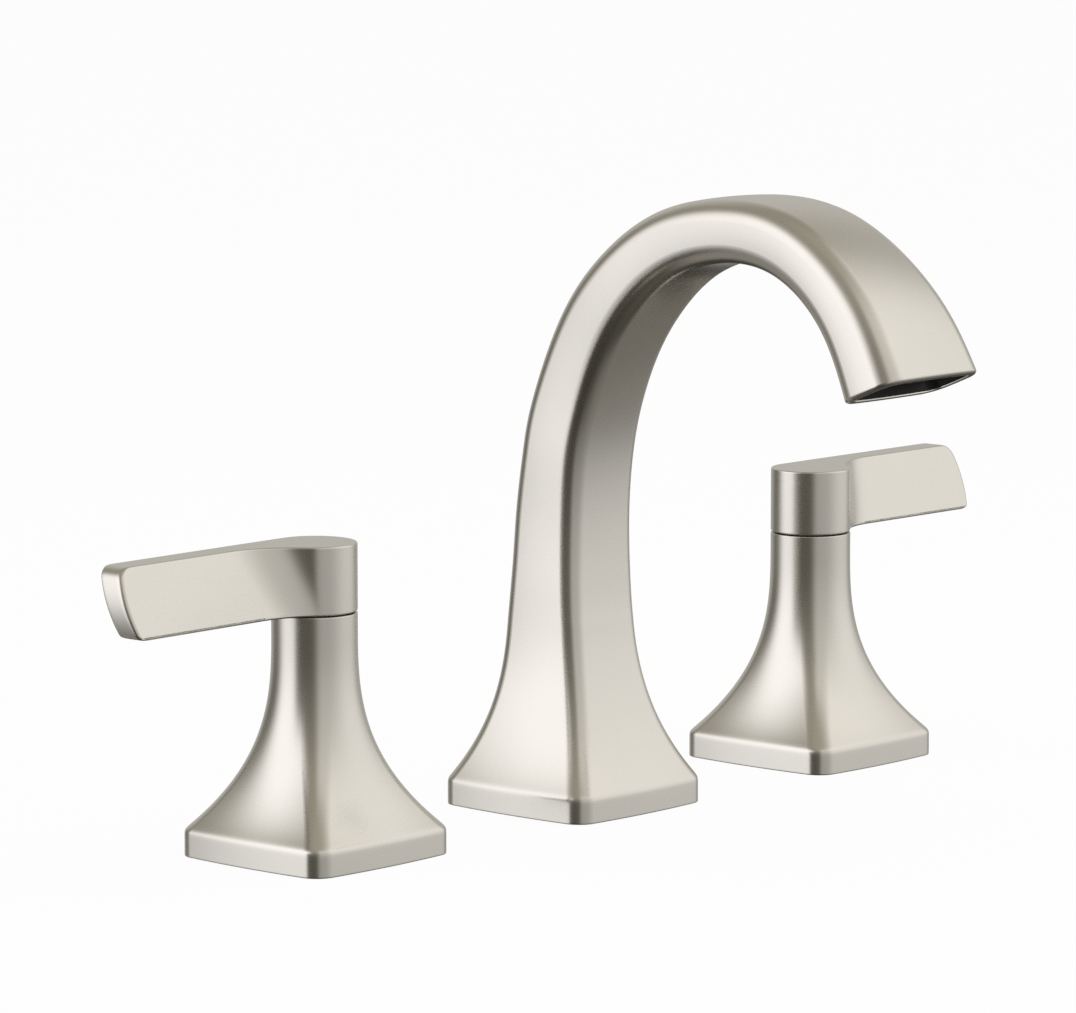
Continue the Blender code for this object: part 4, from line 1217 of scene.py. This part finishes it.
    def clip(self) -> Array:
        """Snap ring with a gap: a flat section carried along an open arc."""
        gap = math.radians(self.clip_gap)
        floor, inner = self.neck_top + self.clearance, self.stem_radius + self.clearance
        outline = np.array(ring(inner, self.clip_radius, floor, floor + self.clip_height))
        section = soften(outline, rounding=0.0001)
        turns = np.linspace(gap / 2, math.tau - gap / 2, 72)[:, None]
        return around(section[None, :, 0], section[None, :, 1], turns)

    def adapter(self) -> Array:
        """Splined sleeve between the stem and the lever's bore."""
        outside, bore = self.lever.bore_radius - self.clearance, self.spline_radius + self.clearance
        floor = self.lever.floor
        skirt = floor - self.adapter_skirt
        return turned([(bore + self.clearance, skirt), (outside, skirt), (outside, self.adapter_top),
                       (bore, self.adapter_top), (bore, floor)], rounding=0.0002)

    def make(self, shop: Workshop, frame: dict[str, Any], prefix: str, body: Body, inward: int,
             across: float) -> None:
        """Make every piece of one valve.

        Args:
            shop: Makes the pieces.
            frame: The loaded frame, whose ceramic discs are kept.
            prefix: Start of the nodes' names.
            body: The body that turns with the lever.
            inward: Side that the port points to, -1 or 1.
            across: Place of the axis along X.
        """
        place = Place(across)
        side = Place(across, self.bore_height, Axis.RIGHT if inward > 0 else Axis.LEFT)
        brass = shop.mesh(prefix + "_valve_body_finished", place.carry(self.body()), None)
        cut_out(brass, shop.mesh("port_cutter", side.carry(self.port_cutter()), (End.POINT, End.POINT)))
        shop.dress(brass, prefix + "_valve_body", Body.FIXED, Slot.BRASS)
        shop.piece(prefix + "_side_port", Body.FIXED, Slot.BRASS, side.carry(self.side_port()))
        socket, glide_top = self.socket - self.clearance, self.lever.floor - self.clearance
        seal = turned(ring(self.seal_bore, socket, self.socket_floor + self.clearance, self.seal_top))
        glide = turned(ring(self.lever.bore_radius, self.bell_bore - self.clearance,
                            glide_top - self.glide_depth, glide_top), rounding=0.0002, columns=80)
        fixed = ((Slot.BRASS, "deck_nut", self.deck_nut()), (Slot.RUBBER, "seat_seal", seal),
                 (Slot.BRASS, "cartridge", self.cartridge()),
                 (Slot.RUBBER, "cartridge_ring", self.cartridge_ring()),
                 (Slot.BRASS, "bonnet", self.bonnet()), (Slot.PLASTIC, "glide_ring", glide))
        for slot, name, grid in fixed:
            shop.piece(f"{prefix}_{name}", Body.FIXED, slot, place.carry(grid))
        shop.piece(prefix + "_stem", body, Slot.BRASS, place.carry(self.stem()), (End.POINT, End.POINT))
        shop.piece(prefix + "_stem_clip", body, Slot.STEEL, place.carry(self.clip()), (End.FLAT, End.FLAT))
        shop.piece(prefix + "_adapter", body, Slot.WHITE_PLASTIC, place.carry(self.adapter()))
        for disc in ("lower_disc", "upper_disc"):
            shop.repaint(frame, f"{prefix}_{disc}", Slot.CERAMIC)


@dataclass(frozen=True)
class Handle:
    """One handle of the pair: its bell, gasket, fixings, valve and lever."""

    side: int
    centres: float = 0.2032

    def make(self, shop: Workshop, frame: dict[str, Any]) -> None:
        """Make the handle's pieces on its own axis."""
        across = self.side * self.centres / 2
        prefix, body = ("left", Body.LEFT) if self.side < 0 else ("right", Body.RIGHT)
        Bell().make(shop, prefix, across)
        Gasket().make(shop, prefix, across)
        DeckFixings().make(shop, prefix, across)
        Valve().make(shop, frame, prefix, body, -self.side, across)
        Lever().make(shop, prefix, body, self.side, across)


def smooth_through(rows: Array, places: Array) -> Array:
    """Read a natural cubic spline through rows of numbers.

    Between two rows the value is the straight mix of both plus ((1 - t)^3 - (1 - t)) and (t^3 - t) sixths of
    the second differences, which come from one set of equations.

    Args:
        rows: Values at the whole numbers 0, 1, 2 and so on.
        places: Row numbers to read at, whole or not.

    Returns:
        One row of values for each place.
    """
    count = len(rows)
    inner = np.arange(1, count - 1)
    system, goal = np.eye(count), np.zeros_like(rows)
    system[inner, inner - 1], system[inner, inner], system[inner, inner + 1] = 1.0, 4.0, 1.0
    goal[inner] = 6 * (rows[inner - 1] - 2 * rows[inner] + rows[inner + 1])
    bends = np.linalg.solve(system, goal)
    lower = np.clip(np.floor(places).astype(int), 0, count - 2)
    ahead = (places - lower)[:, None]
    behind = 1 - ahead
    return (behind * rows[lower] + ahead * rows[lower + 1] + (behind ** 3 - behind) * bends[lower] / 6
            + (ahead ** 3 - ahead) * bends[lower + 1] / 6)


# Side view of the spout from its foot to its mouth. Each row holds the back edge's depth and height, the
# front edge's depth and height, and the half width, as shares of the spout's height.
SPOUT_EDGE_SHARES = (
    (0.0840, 0.0000, -0.0830, 0.0000, 0.0820),
    (0.0858, 0.1640, -0.0801, 0.1640, 0.0830),
    (0.0838, 0.3000, -0.0727, 0.3000, 0.0837),
    (0.0765, 0.3870, -0.0682, 0.3870, 0.0820),
    (0.0692, 0.4800, -0.0686, 0.4800, 0.0807),
    (0.0545, 0.5740, -0.0772, 0.5740, 0.0817),
    (0.0348, 0.6560, -0.0983, 0.6560, 0.0814),
    (-0.0231, 0.7874, -0.1331, 0.7354, 0.0834),
    (-0.1063, 0.8918, -0.1809, 0.8030, 0.0862),
    (-0.2209, 0.9693, -0.2498, 0.8610, 0.0868),
    (-0.3650, 0.9999, -0.3464, 0.8947, 0.0893),
    (-0.5280, 0.9748, -0.4665, 0.8864, 0.0968),
    (-0.6711, 0.8673, -0.5741, 0.8128, 0.1092),
    (-0.7464, 0.7470, -0.6353, 0.7011, 0.1187),
)


@dataclass(frozen=True)
class Spout:
    """Arched spout in one casting with its base plate, and the pieces that carry the water up through it.

    The lip's and the throat's rows are distances from the mouth's edge up the inside, beside those of the
    recess and of the seal's inner end.
    """

    foot: Foot = Foot()
    fixings: DeckFixings = DeckFixings()
    height: float = 0.1707
    wall: float = 0.0022
    mouth_wall: float = 0.0025
    mouth_corner: float = 0.0054
    column_corner: float = 0.0044
    column_bow: float = 0.0005
    arch_bow: float = 0.0008
    lip_round: float = 0.0011
    lip_inner_round: float = 0.0002
    lip_rows: tuple[float, ...] = (0.0006, 0.0011, 0.0016)
    throat_rows: tuple[float, ...] = (0.0040, 0.0070)
    arch_steps: int = 190
    inner_steps: int = 90
    first_free_row: int = 3
    first_arch_row: int = 6
    clearance: float = 0.0003
    block_height: float = 0.0110
    boss: float = 0.0145
    shank: float = 0.0103
    shank_top: float = 0.0210
    shank_length: float = 0.0300
    waterway: float = 0.0050
    tube: float = 0.0048
    tube_wall: float = 0.0009
    tube_seat: float = 0.0060
    nipple_length: float = 0.0160
    nipple_radius: float = 0.0080
    hexagon: float = 0.0100
    hexagon_height: float = 0.0050
    nipple_pitch: float = 0.0014
    nipple_thread: float = 0.0006
    recess: float = 0.0022
    recess_rim: float = 0.0003
    housing_depth: float = 0.0080
    housing_wall: float = 0.0003
    seal_depth: float = 0.0016
    thread_round: float = 0.0006

    @property
    def last(self) -> int:
        """Number of the row at the mouth."""
        return len(SPOUT_EDGE_SHARES) - 1

    @property
    def throat(self) -> float:
        """Distance from the mouth's edge to the inner end of the housing and its seal."""
        return self.recess + self.housing_depth + self.seal_depth

    def edges(self, places: Array) -> Array:
        """Back edge, front edge and half width at row numbers along the spout, in metres."""
        return smooth_through(np.array(SPOUT_EDGE_SHARES), places) * self.height

    def place_at(self, heights: Array) -> Array:
        """Row numbers at heights in the column, where both edges of a row are level."""
        known = [row[1] * self.height for row in SPOUT_EDGE_SHARES[:self.first_arch_row + 1]]
        return np.interp(heights, known, np.arange(len(known)))

    def before_mouth(self, distances: Array) -> Array:
        """Row numbers at distances up the spout's middle from its mouth."""
        places = np.linspace(self.last, self.last - 2, 81)
        edges = self.edges(places)
        middles = (edges[:, 0:2] + edges[:, 2:4]) / 2
        steps = np.linalg.norm(np.diff(middles, axis=0), axis=1)
        return np.interp(distances, np.concatenate([[0.0], np.cumsum(steps)]), places)

    def framed(self, back: Array, front: Array, half_width: Array, corner: Array, bow: Array,
               insets: Array) -> Array:
        """Sections between back and front edge points.

        Each section's plane holds the line from its front to its back point, and the section's second
        direction runs along that line.

        Args:
            back: Depth and height of each section's back point.
            front: Depth and height of its front point.
            half_width: Half its size across.
            corner: Its corner radius before the inset.
            bow: How far its sides bow out.
            insets: How far it is drawn in.

        Returns:
            Points by section and column.
        """
        span = np.linalg.norm(back - front, axis=1)
        heading = (back - front) / span[:, None]
        half = np.stack([half_width - bow - insets, span / 2 - bow - insets], axis=-1)
        flat = SECTION.sections(half, np.maximum(corner - insets, self.foot.edge_round), bow)
        middle = (back + front) / 2
        upright = middle[:, None, :] + flat[..., 1:] * heading[:, None, :]
        return np.concatenate([flat[..., :1], upright], axis=-1)

    def corner_at(self, places: Array) -> Array:
        """Corner radius at row numbers, which changes evenly from the column's to the mouth's."""
        return self.column_corner + (self.mouth_corner - self.column_corner) * places / self.last

    def arch(self, places: Array, insets: Array) -> Array:
        """Sections of the column and the arch at row numbers, whose sides bow out more towards the mouth."""
        rows = self.edges(places)
        risen = np.clip((places - self.first_arch_row) / (self.last - self.first_arch_row), 0.0, 1.0)
        bow = self.column_bow + (self.arch_bow - self.column_bow) * (1 - np.cos(math.pi * risen)) / 2
        return self.framed(rows[:, 0:2], rows[:, 2:4], rows[:, 4], self.corner_at(places), bow, insets)

    def flare(self, heights: Array, insets: Array) -> Array:
        """Sections of the foot: the base plate's size mixed with the column's by the flare's share."""
        places = self.place_at(heights)
        rows, share = self.edges(places), self.foot.share(heights)
        plate = self.foot.half + self.foot.bow
        back = np.stack([share * plate + (1 - share) * rows[:, 0], heights], axis=-1)
        front = np.stack([-share * plate + (1 - share) * rows[:, 2], heights], axis=-1)
        half_width = share * plate + (1 - share) * rows[:, 4]
        corner = share * self.foot.corner + (1 - share) * self.corner_at(places)
        bow = share * self.foot.bow + (1 - share) * self.column_bow
        return self.framed(back, front, half_width, corner, bow, insets)

    def wall_at(self, places: Array) -> Array:
        """Thickness of the spout's wall, which changes to the mouth's over the last two rows."""
        share = np.clip((places - (self.last - 2)) / 2, 0.0, 1.0)
        return self.wall + (self.mouth_wall - self.wall) * share

    def skin(self) -> Array:
        """Whole skin: up the outside, along the arch, round the mouth's lip and back down the inside."""
        heights, insets = self.foot.outer_rows()
        free = SPOUT_EDGE_SHARES[self.first_free_row][1] * self.height
        upper = np.linspace(self.foot.flare_top, free, 7)[1:-1]
        outside = self.flare(np.concatenate([heights, upper]),
                             np.concatenate([insets, np.zeros(len(upper))]))
        lip_places = self.before_mouth(self.lip_round * np.array([2.0, 1.4, 1.15]))
        arch_places = np.linspace(self.first_free_row, lip_places[0], self.arch_steps)[:-1]
        arch = self.arch(arch_places, np.zeros(len(arch_places)))
        sine, rest = quarter(10)
        lip_out = self.before_mouth(self.lip_round * (1 - sine))
        lip_in = self.before_mouth(self.lip_inner_round * rest)
        lip = self.arch(np.concatenate([lip_places, lip_out, lip_in]),
                        np.concatenate([np.zeros(len(lip_places)), self.lip_round * rest,
                                        self.mouth_wall - self.lip_inner_round * (1 - sine)]))
        deep = self.before_mouth(np.array([*self.lip_rows, self.recess, *self.throat_rows, self.throat]))
        back = np.concatenate([deep, np.linspace(deep[-1], self.first_free_row, self.inner_steps)[1:]])
        inside = self.arch(back, self.wall_at(back))
        inner_heights = self.foot.inner_heights()
        down = self.flare(inner_heights, np.full(len(inner_heights), self.wall))
        return np.concatenate([outside, arch, lip, inside, down, self.foot.recess(down[-1])])

    def block(self) -> Array:
        """Brass flange in the spout's foot, with a round boss for the shank."""
        floor = self.foot.gasket + self.clearance
        shoulder = self.foot.recess_top - self.clearance
        top, wall, soft = floor + self.block_height, self.foot.rim + self.clearance, 0.0003
        plate = self.foot.plate(np.array([floor, floor + soft, shoulder - soft, shoulder]),
                                wall + np.array([soft, 0.0, 0.0, soft]))
        bore = self.shank + self.clearance
        rounds = ((self.boss + soft, shoulder), (self.boss, shoulder + soft), (self.boss, top - soft * 2),
                  (self.boss - soft / 2, top - soft / 2), (self.boss - soft * 2, top), (bore + soft, top),
                  (bore, top - soft), (bore, floor + soft), (bore + soft, floor))
        return np.concatenate([plate, *(opening_in(plate[0], radius, height) for radius, height in rounds)])

    def shank_piece(self) -> Array:
        """Threaded tube from the foot down through the deck, with a seat for the waterway tube."""
        floor = self.fixings.nut_floor - self.shank_length
        seat, bore = self.shank_top - self.tube_seat, self.waterway - self.tube_wall
        soft = self.thread_round
        outline = [(self.waterway, floor), (self.shank - soft, floor), (self.shank, floor + soft),
                   (self.shank, self.shank_top - soft), (self.shank - soft, self.shank_top),
                   (self.tube + self.clearance, self.shank_top), (self.tube + self.clearance, seat),
                   (bore, seat), (bore, floor + self.nipple_length),
                   (self.waterway, floor + self.nipple_length)]
        thread = Thread(self.shank, floor + RUNOUT, self.shank_top - RUNOUT)
        return turned(outline, rounding=0.0002, columns=72, threads=(thread,))

    def tube_piece(self) -> Array:
        """Waterway tube: a ring carried along the middle of the spout, outside first and then back inside.

        At each place the ring lies across the line's heading: x keeps its direction, and the second direction
        is the heading turned a quarter in the YZ plane.
        """
        end = self.before_mouth(np.array([self.throat + self.clearance * 2]))[0]
        start = self.place_at(np.array([self.foot.flare_top]))[0]
        edges = self.edges(np.linspace(start, end, 15))
        middles = (edges[:, 0:2] + edges[:, 2:4]) / 2
        floor = self.shank_top - self.tube_seat + self.clearance
        halfway = (self.shank_top + self.foot.flare_top) / 2
        straight = np.array([(0.0, floor), (0.0, self.shank_top), (0.0, halfway)])
        line = np.concatenate([straight, middles])
        line = smooth_through(line, np.linspace(0, len(line) - 1, 120))
        headings = np.gradient(line, axis=0)
        headings /= np.linalg.norm(headings, axis=1)[:, None]
        turns = even_turns(40)
        walls = []
        for radius in (self.tube, self.tube - self.tube_wall):
            swing = radius * np.sin(turns)
            points = (radius * np.cos(turns), line[:, :1] + swing * headings[:, 1:],
                      line[:, 1:] - swing * headings[:, :1])
            walls.append(np.stack(np.broadcast_arrays(*points), axis=-1))
        return np.concatenate([walls[0], walls[1][::-1]])

    def nipple(self) -> Array:
        """Inlet nipple at the shank's foot, with a hexagon for the spanner and a round body elsewhere."""
        floor = self.fixings.nut_floor - self.shank_length
        body, seat = self.waterway - self.clearance, floor - self.clearance
        hex_floor, top = seat - self.hexagon_height, floor + self.nipple_length - self.clearance
        end, bore = hex_floor - self.nipple_length, body - self.tube_wall * 2
        soft = self.thread_round
        outline = [(bore, end), (self.nipple_radius - soft, end), (self.nipple_radius, end + soft),
                   (self.nipple_radius, hex_floor), (self.hexagon, hex_floor), (self.hexagon, seat),
                   (body, seat), (body, top), (bore, top)]
        thread = Thread(self.nipple_radius, end + RUNOUT, hex_floor - RUNOUT, self.nipple_pitch,
                        self.nipple_thread)
        grid = turned(outline, rounding=0.0003, columns=96, threads=(thread,))
        flats = flat_sided(self.hexagon, 6, even_turns(grid.shape[1]))
        radius = np.linalg.norm(grid[..., :2], axis=-1)
        scale = np.where(radius > self.nipple_radius * 1.03, np.minimum(flats / radius, 1.0), 1.0)
        return np.concatenate([grid[..., :2] * scale[..., None], grid[..., 2:]], axis=-1)

    def sleeve(self, near: float, far: float) -> Array:
        """Rounded rectangular sleeve inside the mouth, between two distances from its edge."""
        soft = 0.0002
        distances = np.array([near, near + soft, (near + far) / 2, far - soft, far])
        places = self.before_mouth(distances)
        walls = self.wall_at(places) + self.clearance
        pinch = np.array([soft, 0.0, 0.0, 0.0, soft])
        outer = self.arch(places, walls + pinch)
        inner = self.arch(places[::-1], walls[::-1] + self.housing_wall - pinch)
        return np.concatenate([outer, inner])

    def make(self, shop: Workshop, frame: dict[str, Any]) -> None:
        """Make every piece of the spout."""
        far = self.recess + self.housing_depth
        seal = self.sleeve(far + self.clearance, far + self.clearance + self.seal_depth)[:, ::-1]
        pieces = (("spout_body", Slot.NICKEL, self.skin()), ("spout_block", Slot.BRASS, self.block()),
                  ("spout_shank", Slot.BRASS, self.shank_piece()),
                  ("spout_tube", Slot.BRASS, self.tube_piece()), ("spout_nipple", Slot.BRASS, self.nipple()),
                  ("outlet_seal", Slot.RUBBER, seal))
        for node, slot, grid in pieces:
            shop.piece(node, Body.FIXED, slot, grid)
        # The housing gets the near-black finish, which makes the inside of the mouth look dark.
        housing = self.sleeve(self.recess_rim, far)[:, ::-1]
        shop.piece("outlet_housing", Body.FIXED, Slot.PLASTIC, housing, look=Look.OUTLET)
        Gasket().make(shop, "spout", 0.0)
        self.fixings.make(shop, "spout", 0.0)
        # The steel grille gets the near-black finish, which paints shade into the mouth's opening.
        shop.repaint(frame, "outlet_grille", Look.GRILLE)


@dataclass(frozen=True)
class SoftBox:
    """Light part of the studio's surround: a patch between two azimuths and two elevations, in degrees.

    The light falls off over a soft width at each of its left, right, lower and upper edges, and has a tint.
    """

    start: float
    end: float
    low: float
    high: float
    level: float
    soft: tuple[float, float, float, float]
    tint: Colour = (0.995, 1.0, 1.015)


@dataclass(frozen=True)
class Studio:
    """Floor, surround, lamp and camera of the picture."""

    camera_place: tuple[float, float, float] = (-1.2775, -1.1405, 0.3153)
    yaw: float = -47.930
    pitch: float = 7.881
    lens: float = 211.8
    sensor: float = 36.0
    far_limit: float = 100.0
    shift: tuple[float, float] = (-0.0009, 0.0125)
    floor_reach: float = 12.0
    floor_drop: float = 0.00005
    floor_grey: float = 0.85
    floor_white: float = 0.95
    lamp_place: tuple[float, float, float] = (0.0, -0.2, 1.5)
    lamp_size: float = 1.4
    lamp_power: float = 8.0
    mirrored: tuple[str, ...] = ("_bell", "_lever")
    surround: tuple[tuple[float, float], ...] = (
        (-90.0, 0.12), (-60.0, 0.055), (-30.0, 0.045), (-20.0, 0.055), (-10.0, 0.10), (0.0, 0.15),
        (30.0, 0.26), (50.0, 0.34), (65.0, 0.35), (80.0, 0.42), (90.0, 0.44),
    )
    surround_tint: Colour = (1.08, 1.02, 0.86)
    boxes: tuple[SoftBox, ...] = (
        SoftBox(-145.5, -99.0, -21.0, 13.0, 1.36, (30.0, 12.0, 46.0, 18.0), (0.995, 1.005, 1.045)),
        SoftBox(-145.5, -89.0, 13.0, 45.0, 1.30, (30.0, 34.0, 18.0, 30.0), (0.985, 1.005, 1.07)),
        SoftBox(-158.0, -138.0, 4.0, 48.0, 0.38, (18.0, 20.0, 20.0, 18.0)),
        SoftBox(-40.0, 90.0, -20.0, 68.0, 0.48, (18.0, 34.0, 40.0, 30.0)),
        SoftBox(18.0, 80.0, -14.0, 50.0, 0.41, (56.0, 34.0, 36.0, 26.0)),
        SoftBox(98.0, 172.0, -16.0, 42.0, 0.40, (30.0, 30.0, 14.0, 40.0)),
        SoftBox(-15.0, 104.0, -55.0, -24.0, 0.17, (70.0, 30.0, 24.0, 20.0), (1.03, 1.0, 0.92)),
        SoftBox(159.0, 214.0, -68.0, -12.0, 0.26, (18.0, 16.0, 24.0, 20.0), (1.03, 1.0, 0.94)),
    )

    def make(self, pieces: Sequence[bpy.types.Object]) -> None:
        """Build the whole studio.

        Args:
            pieces: Every piece of the set that is made here. Metal mirrors only the bells and the levers
                among them. It doesn't mirror the floor, so a piece under the deck would show through it.
        """
        for piece in pieces:
            piece.visible_glossy = any(word in piece.name for word in self.mirrored)
        self.make_floor()
        self.make_surround()
        self.make_lamp()
        self.make_camera()

    def make_floor(self) -> None:
        """Lay a pale floor a hair under the deck. To the camera it mostly glows, so shadows stay faint."""
        reach, drop = self.floor_reach, self.floor_drop
        mesh = bpy.data.meshes.new("floor")
        mesh.from_pydata([(-reach, -reach, -drop), (reach, -reach, -drop), (reach, reach, -drop),
                          (-reach, reach, -drop)], [], [(0, 1, 2, 3)])
        floor = bpy.data.objects.new("floor", mesh)
        bpy.context.scene.collection.objects.link(floor)
        material = bpy.data.materials.new("pale_floor")
        material.use_nodes = True
        board = NodeBoard(material.node_tree)
        lit = board.add("BsdfDiffuse", {"Color": (self.floor_grey,) * 3 + (1.0,)})
        white = board.add("Emission", {"Color": (1.0, 1.0, 1.0, 1.0), "Strength": 1.0})
        seen = board.math("MULTIPLY", board.add("LightPath").outputs["Is Camera Ray"], self.floor_white)
        both = board.add("MixShader", {0: seen, 1: lit.outputs[0], 2: white.outputs[0]})
        board.add("OutputMaterial", {"Surface": both.outputs[0]})
        mesh.materials.append(material)
        floor.visible_glossy = False

    def make_surround(self) -> None:
        """Paint the surround by direction: a level for each elevation, and soft boxes laid over it.

        A box adds its level times four smooth steps, two of the azimuth and two of the elevation. The camera
        sees plain white instead, and so does whatever is seen through a clear piece.
        """
        world = bpy.data.worlds.new("studio_surround")
        bpy.context.scene.world = world
        world.use_nodes = True
        board = NodeBoard(world.node_tree)
        direction = board.add("SeparateXYZ", {0: board.add("TexCoord").outputs["Generated"]}).outputs
        back = board.math("MULTIPLY", direction["Y"], -1.0)
        azimuth = board.math("DEGREES", board.math("ARCTAN2", direction["X"], back))
        elevation = board.math("DEGREES", board.math("ARCSINE", direction["Z"]))
        share = board.math("DIVIDE", board.math("ADD", elevation, 90.0), 180.0)
        level = board.ramp(share, [((angle + 90.0) / 180.0, shade(self.surround_tint, value))
                                   for angle, value in self.surround])
        for box in self.boxes:
            middle, half = (box.start + box.end) / 2, (box.end - box.start) / 2
            off = board.math("WRAP", board.math("SUBTRACT", azimuth, middle), 180.0, -180.0)
            share = board.math("MULTIPLY", self.step(board, off, -half, box.soft[0]),
                               self.step(board, off, half, -box.soft[1]))
            upright = board.math("MULTIPLY", self.step(board, elevation, box.low, box.soft[2]),
                                 self.step(board, elevation, box.high, -box.soft[3]))
            strength = board.math("MULTIPLY", share, upright)
            glow = tuple(box.level * channel for channel in box.tint)
            light = board.add("VectorMath", {0: glow, "Scale": strength}, operation="SCALE")
            level = board.add("VectorMath", {0: level, 1: light.outputs[0]}, operation="ADD").outputs[0]
        paths = board.add("LightPath").outputs
        seen = board.math("MAXIMUM", paths["Is Camera Ray"], paths["Is Transmission Ray"])
        shown = board.add("Mix", {0: seen, 6: level, 7: (1.0, 1.0, 1.0, 1.0)}, data_type="RGBA")
        background = board.add("Background", {"Color": shown.outputs[2], "Strength": 1.0})
        board.add("OutputWorld", {"Surface": background.outputs[0]})

    @staticmethod
    def step(board: NodeBoard, value: bpy.types.NodeSocket, edge: float, soft: float) -> bpy.types.NodeSocket:
        """Smooth step that rises through an edge, or falls through it where its soft width is negative."""
        limits = {"Value": value, "From Min": edge - abs(soft) / 2, "From Max": edge + abs(soft) / 2,
                  "To Min": float(soft < 0), "To Max": float(soft > 0)}
        return board.add("MapRange", limits, interpolation_type="SMOOTHSTEP").outputs["Result"]

    def make_lamp(self) -> None:
        """Hang one broad lamp overhead, which lights the pale and the rubber pieces."""
        lamp = bpy.data.lights.new("overhead_lamp", "AREA")
        lamp.shape, lamp.size, lamp.energy = "DISK", self.lamp_size, self.lamp_power
        item = bpy.data.objects.new("overhead_lamp", lamp)
        item.location = self.lamp_place
        item.visible_glossy = False
        bpy.context.scene.collection.objects.link(item)

    def make_camera(self) -> None:
        """Set the camera at the picture's own viewpoint."""
        camera = bpy.data.cameras.new("camera")
        camera.lens, camera.sensor_width, camera.clip_end = self.lens, self.sensor, self.far_limit
        camera.shift_x, camera.shift_y = self.shift
        item = bpy.data.objects.new("camera", camera)
        item.location = self.camera_place
        item.rotation_euler = (math.radians(90.0 - self.pitch), 0.0, math.radians(self.yaw))
        bpy.context.scene.collection.objects.link(item)
        bpy.context.scene.camera = item
        bpy.context.scene.view_settings.view_transform = "Standard"


def main() -> None:
    """Load the frame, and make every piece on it."""
    logging.basicConfig(level=logging.INFO, format="%(message)s")
    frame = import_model()
    shop = Workshop()
    Spout().make(shop, frame)
    Handle(-1).make(shop, frame)
    Handle(1).make(shop, frame)
    Studio().make(shop.made)
    log.info("%d pieces made", len(shop.made))


if __name__ == "__main__":
    main()
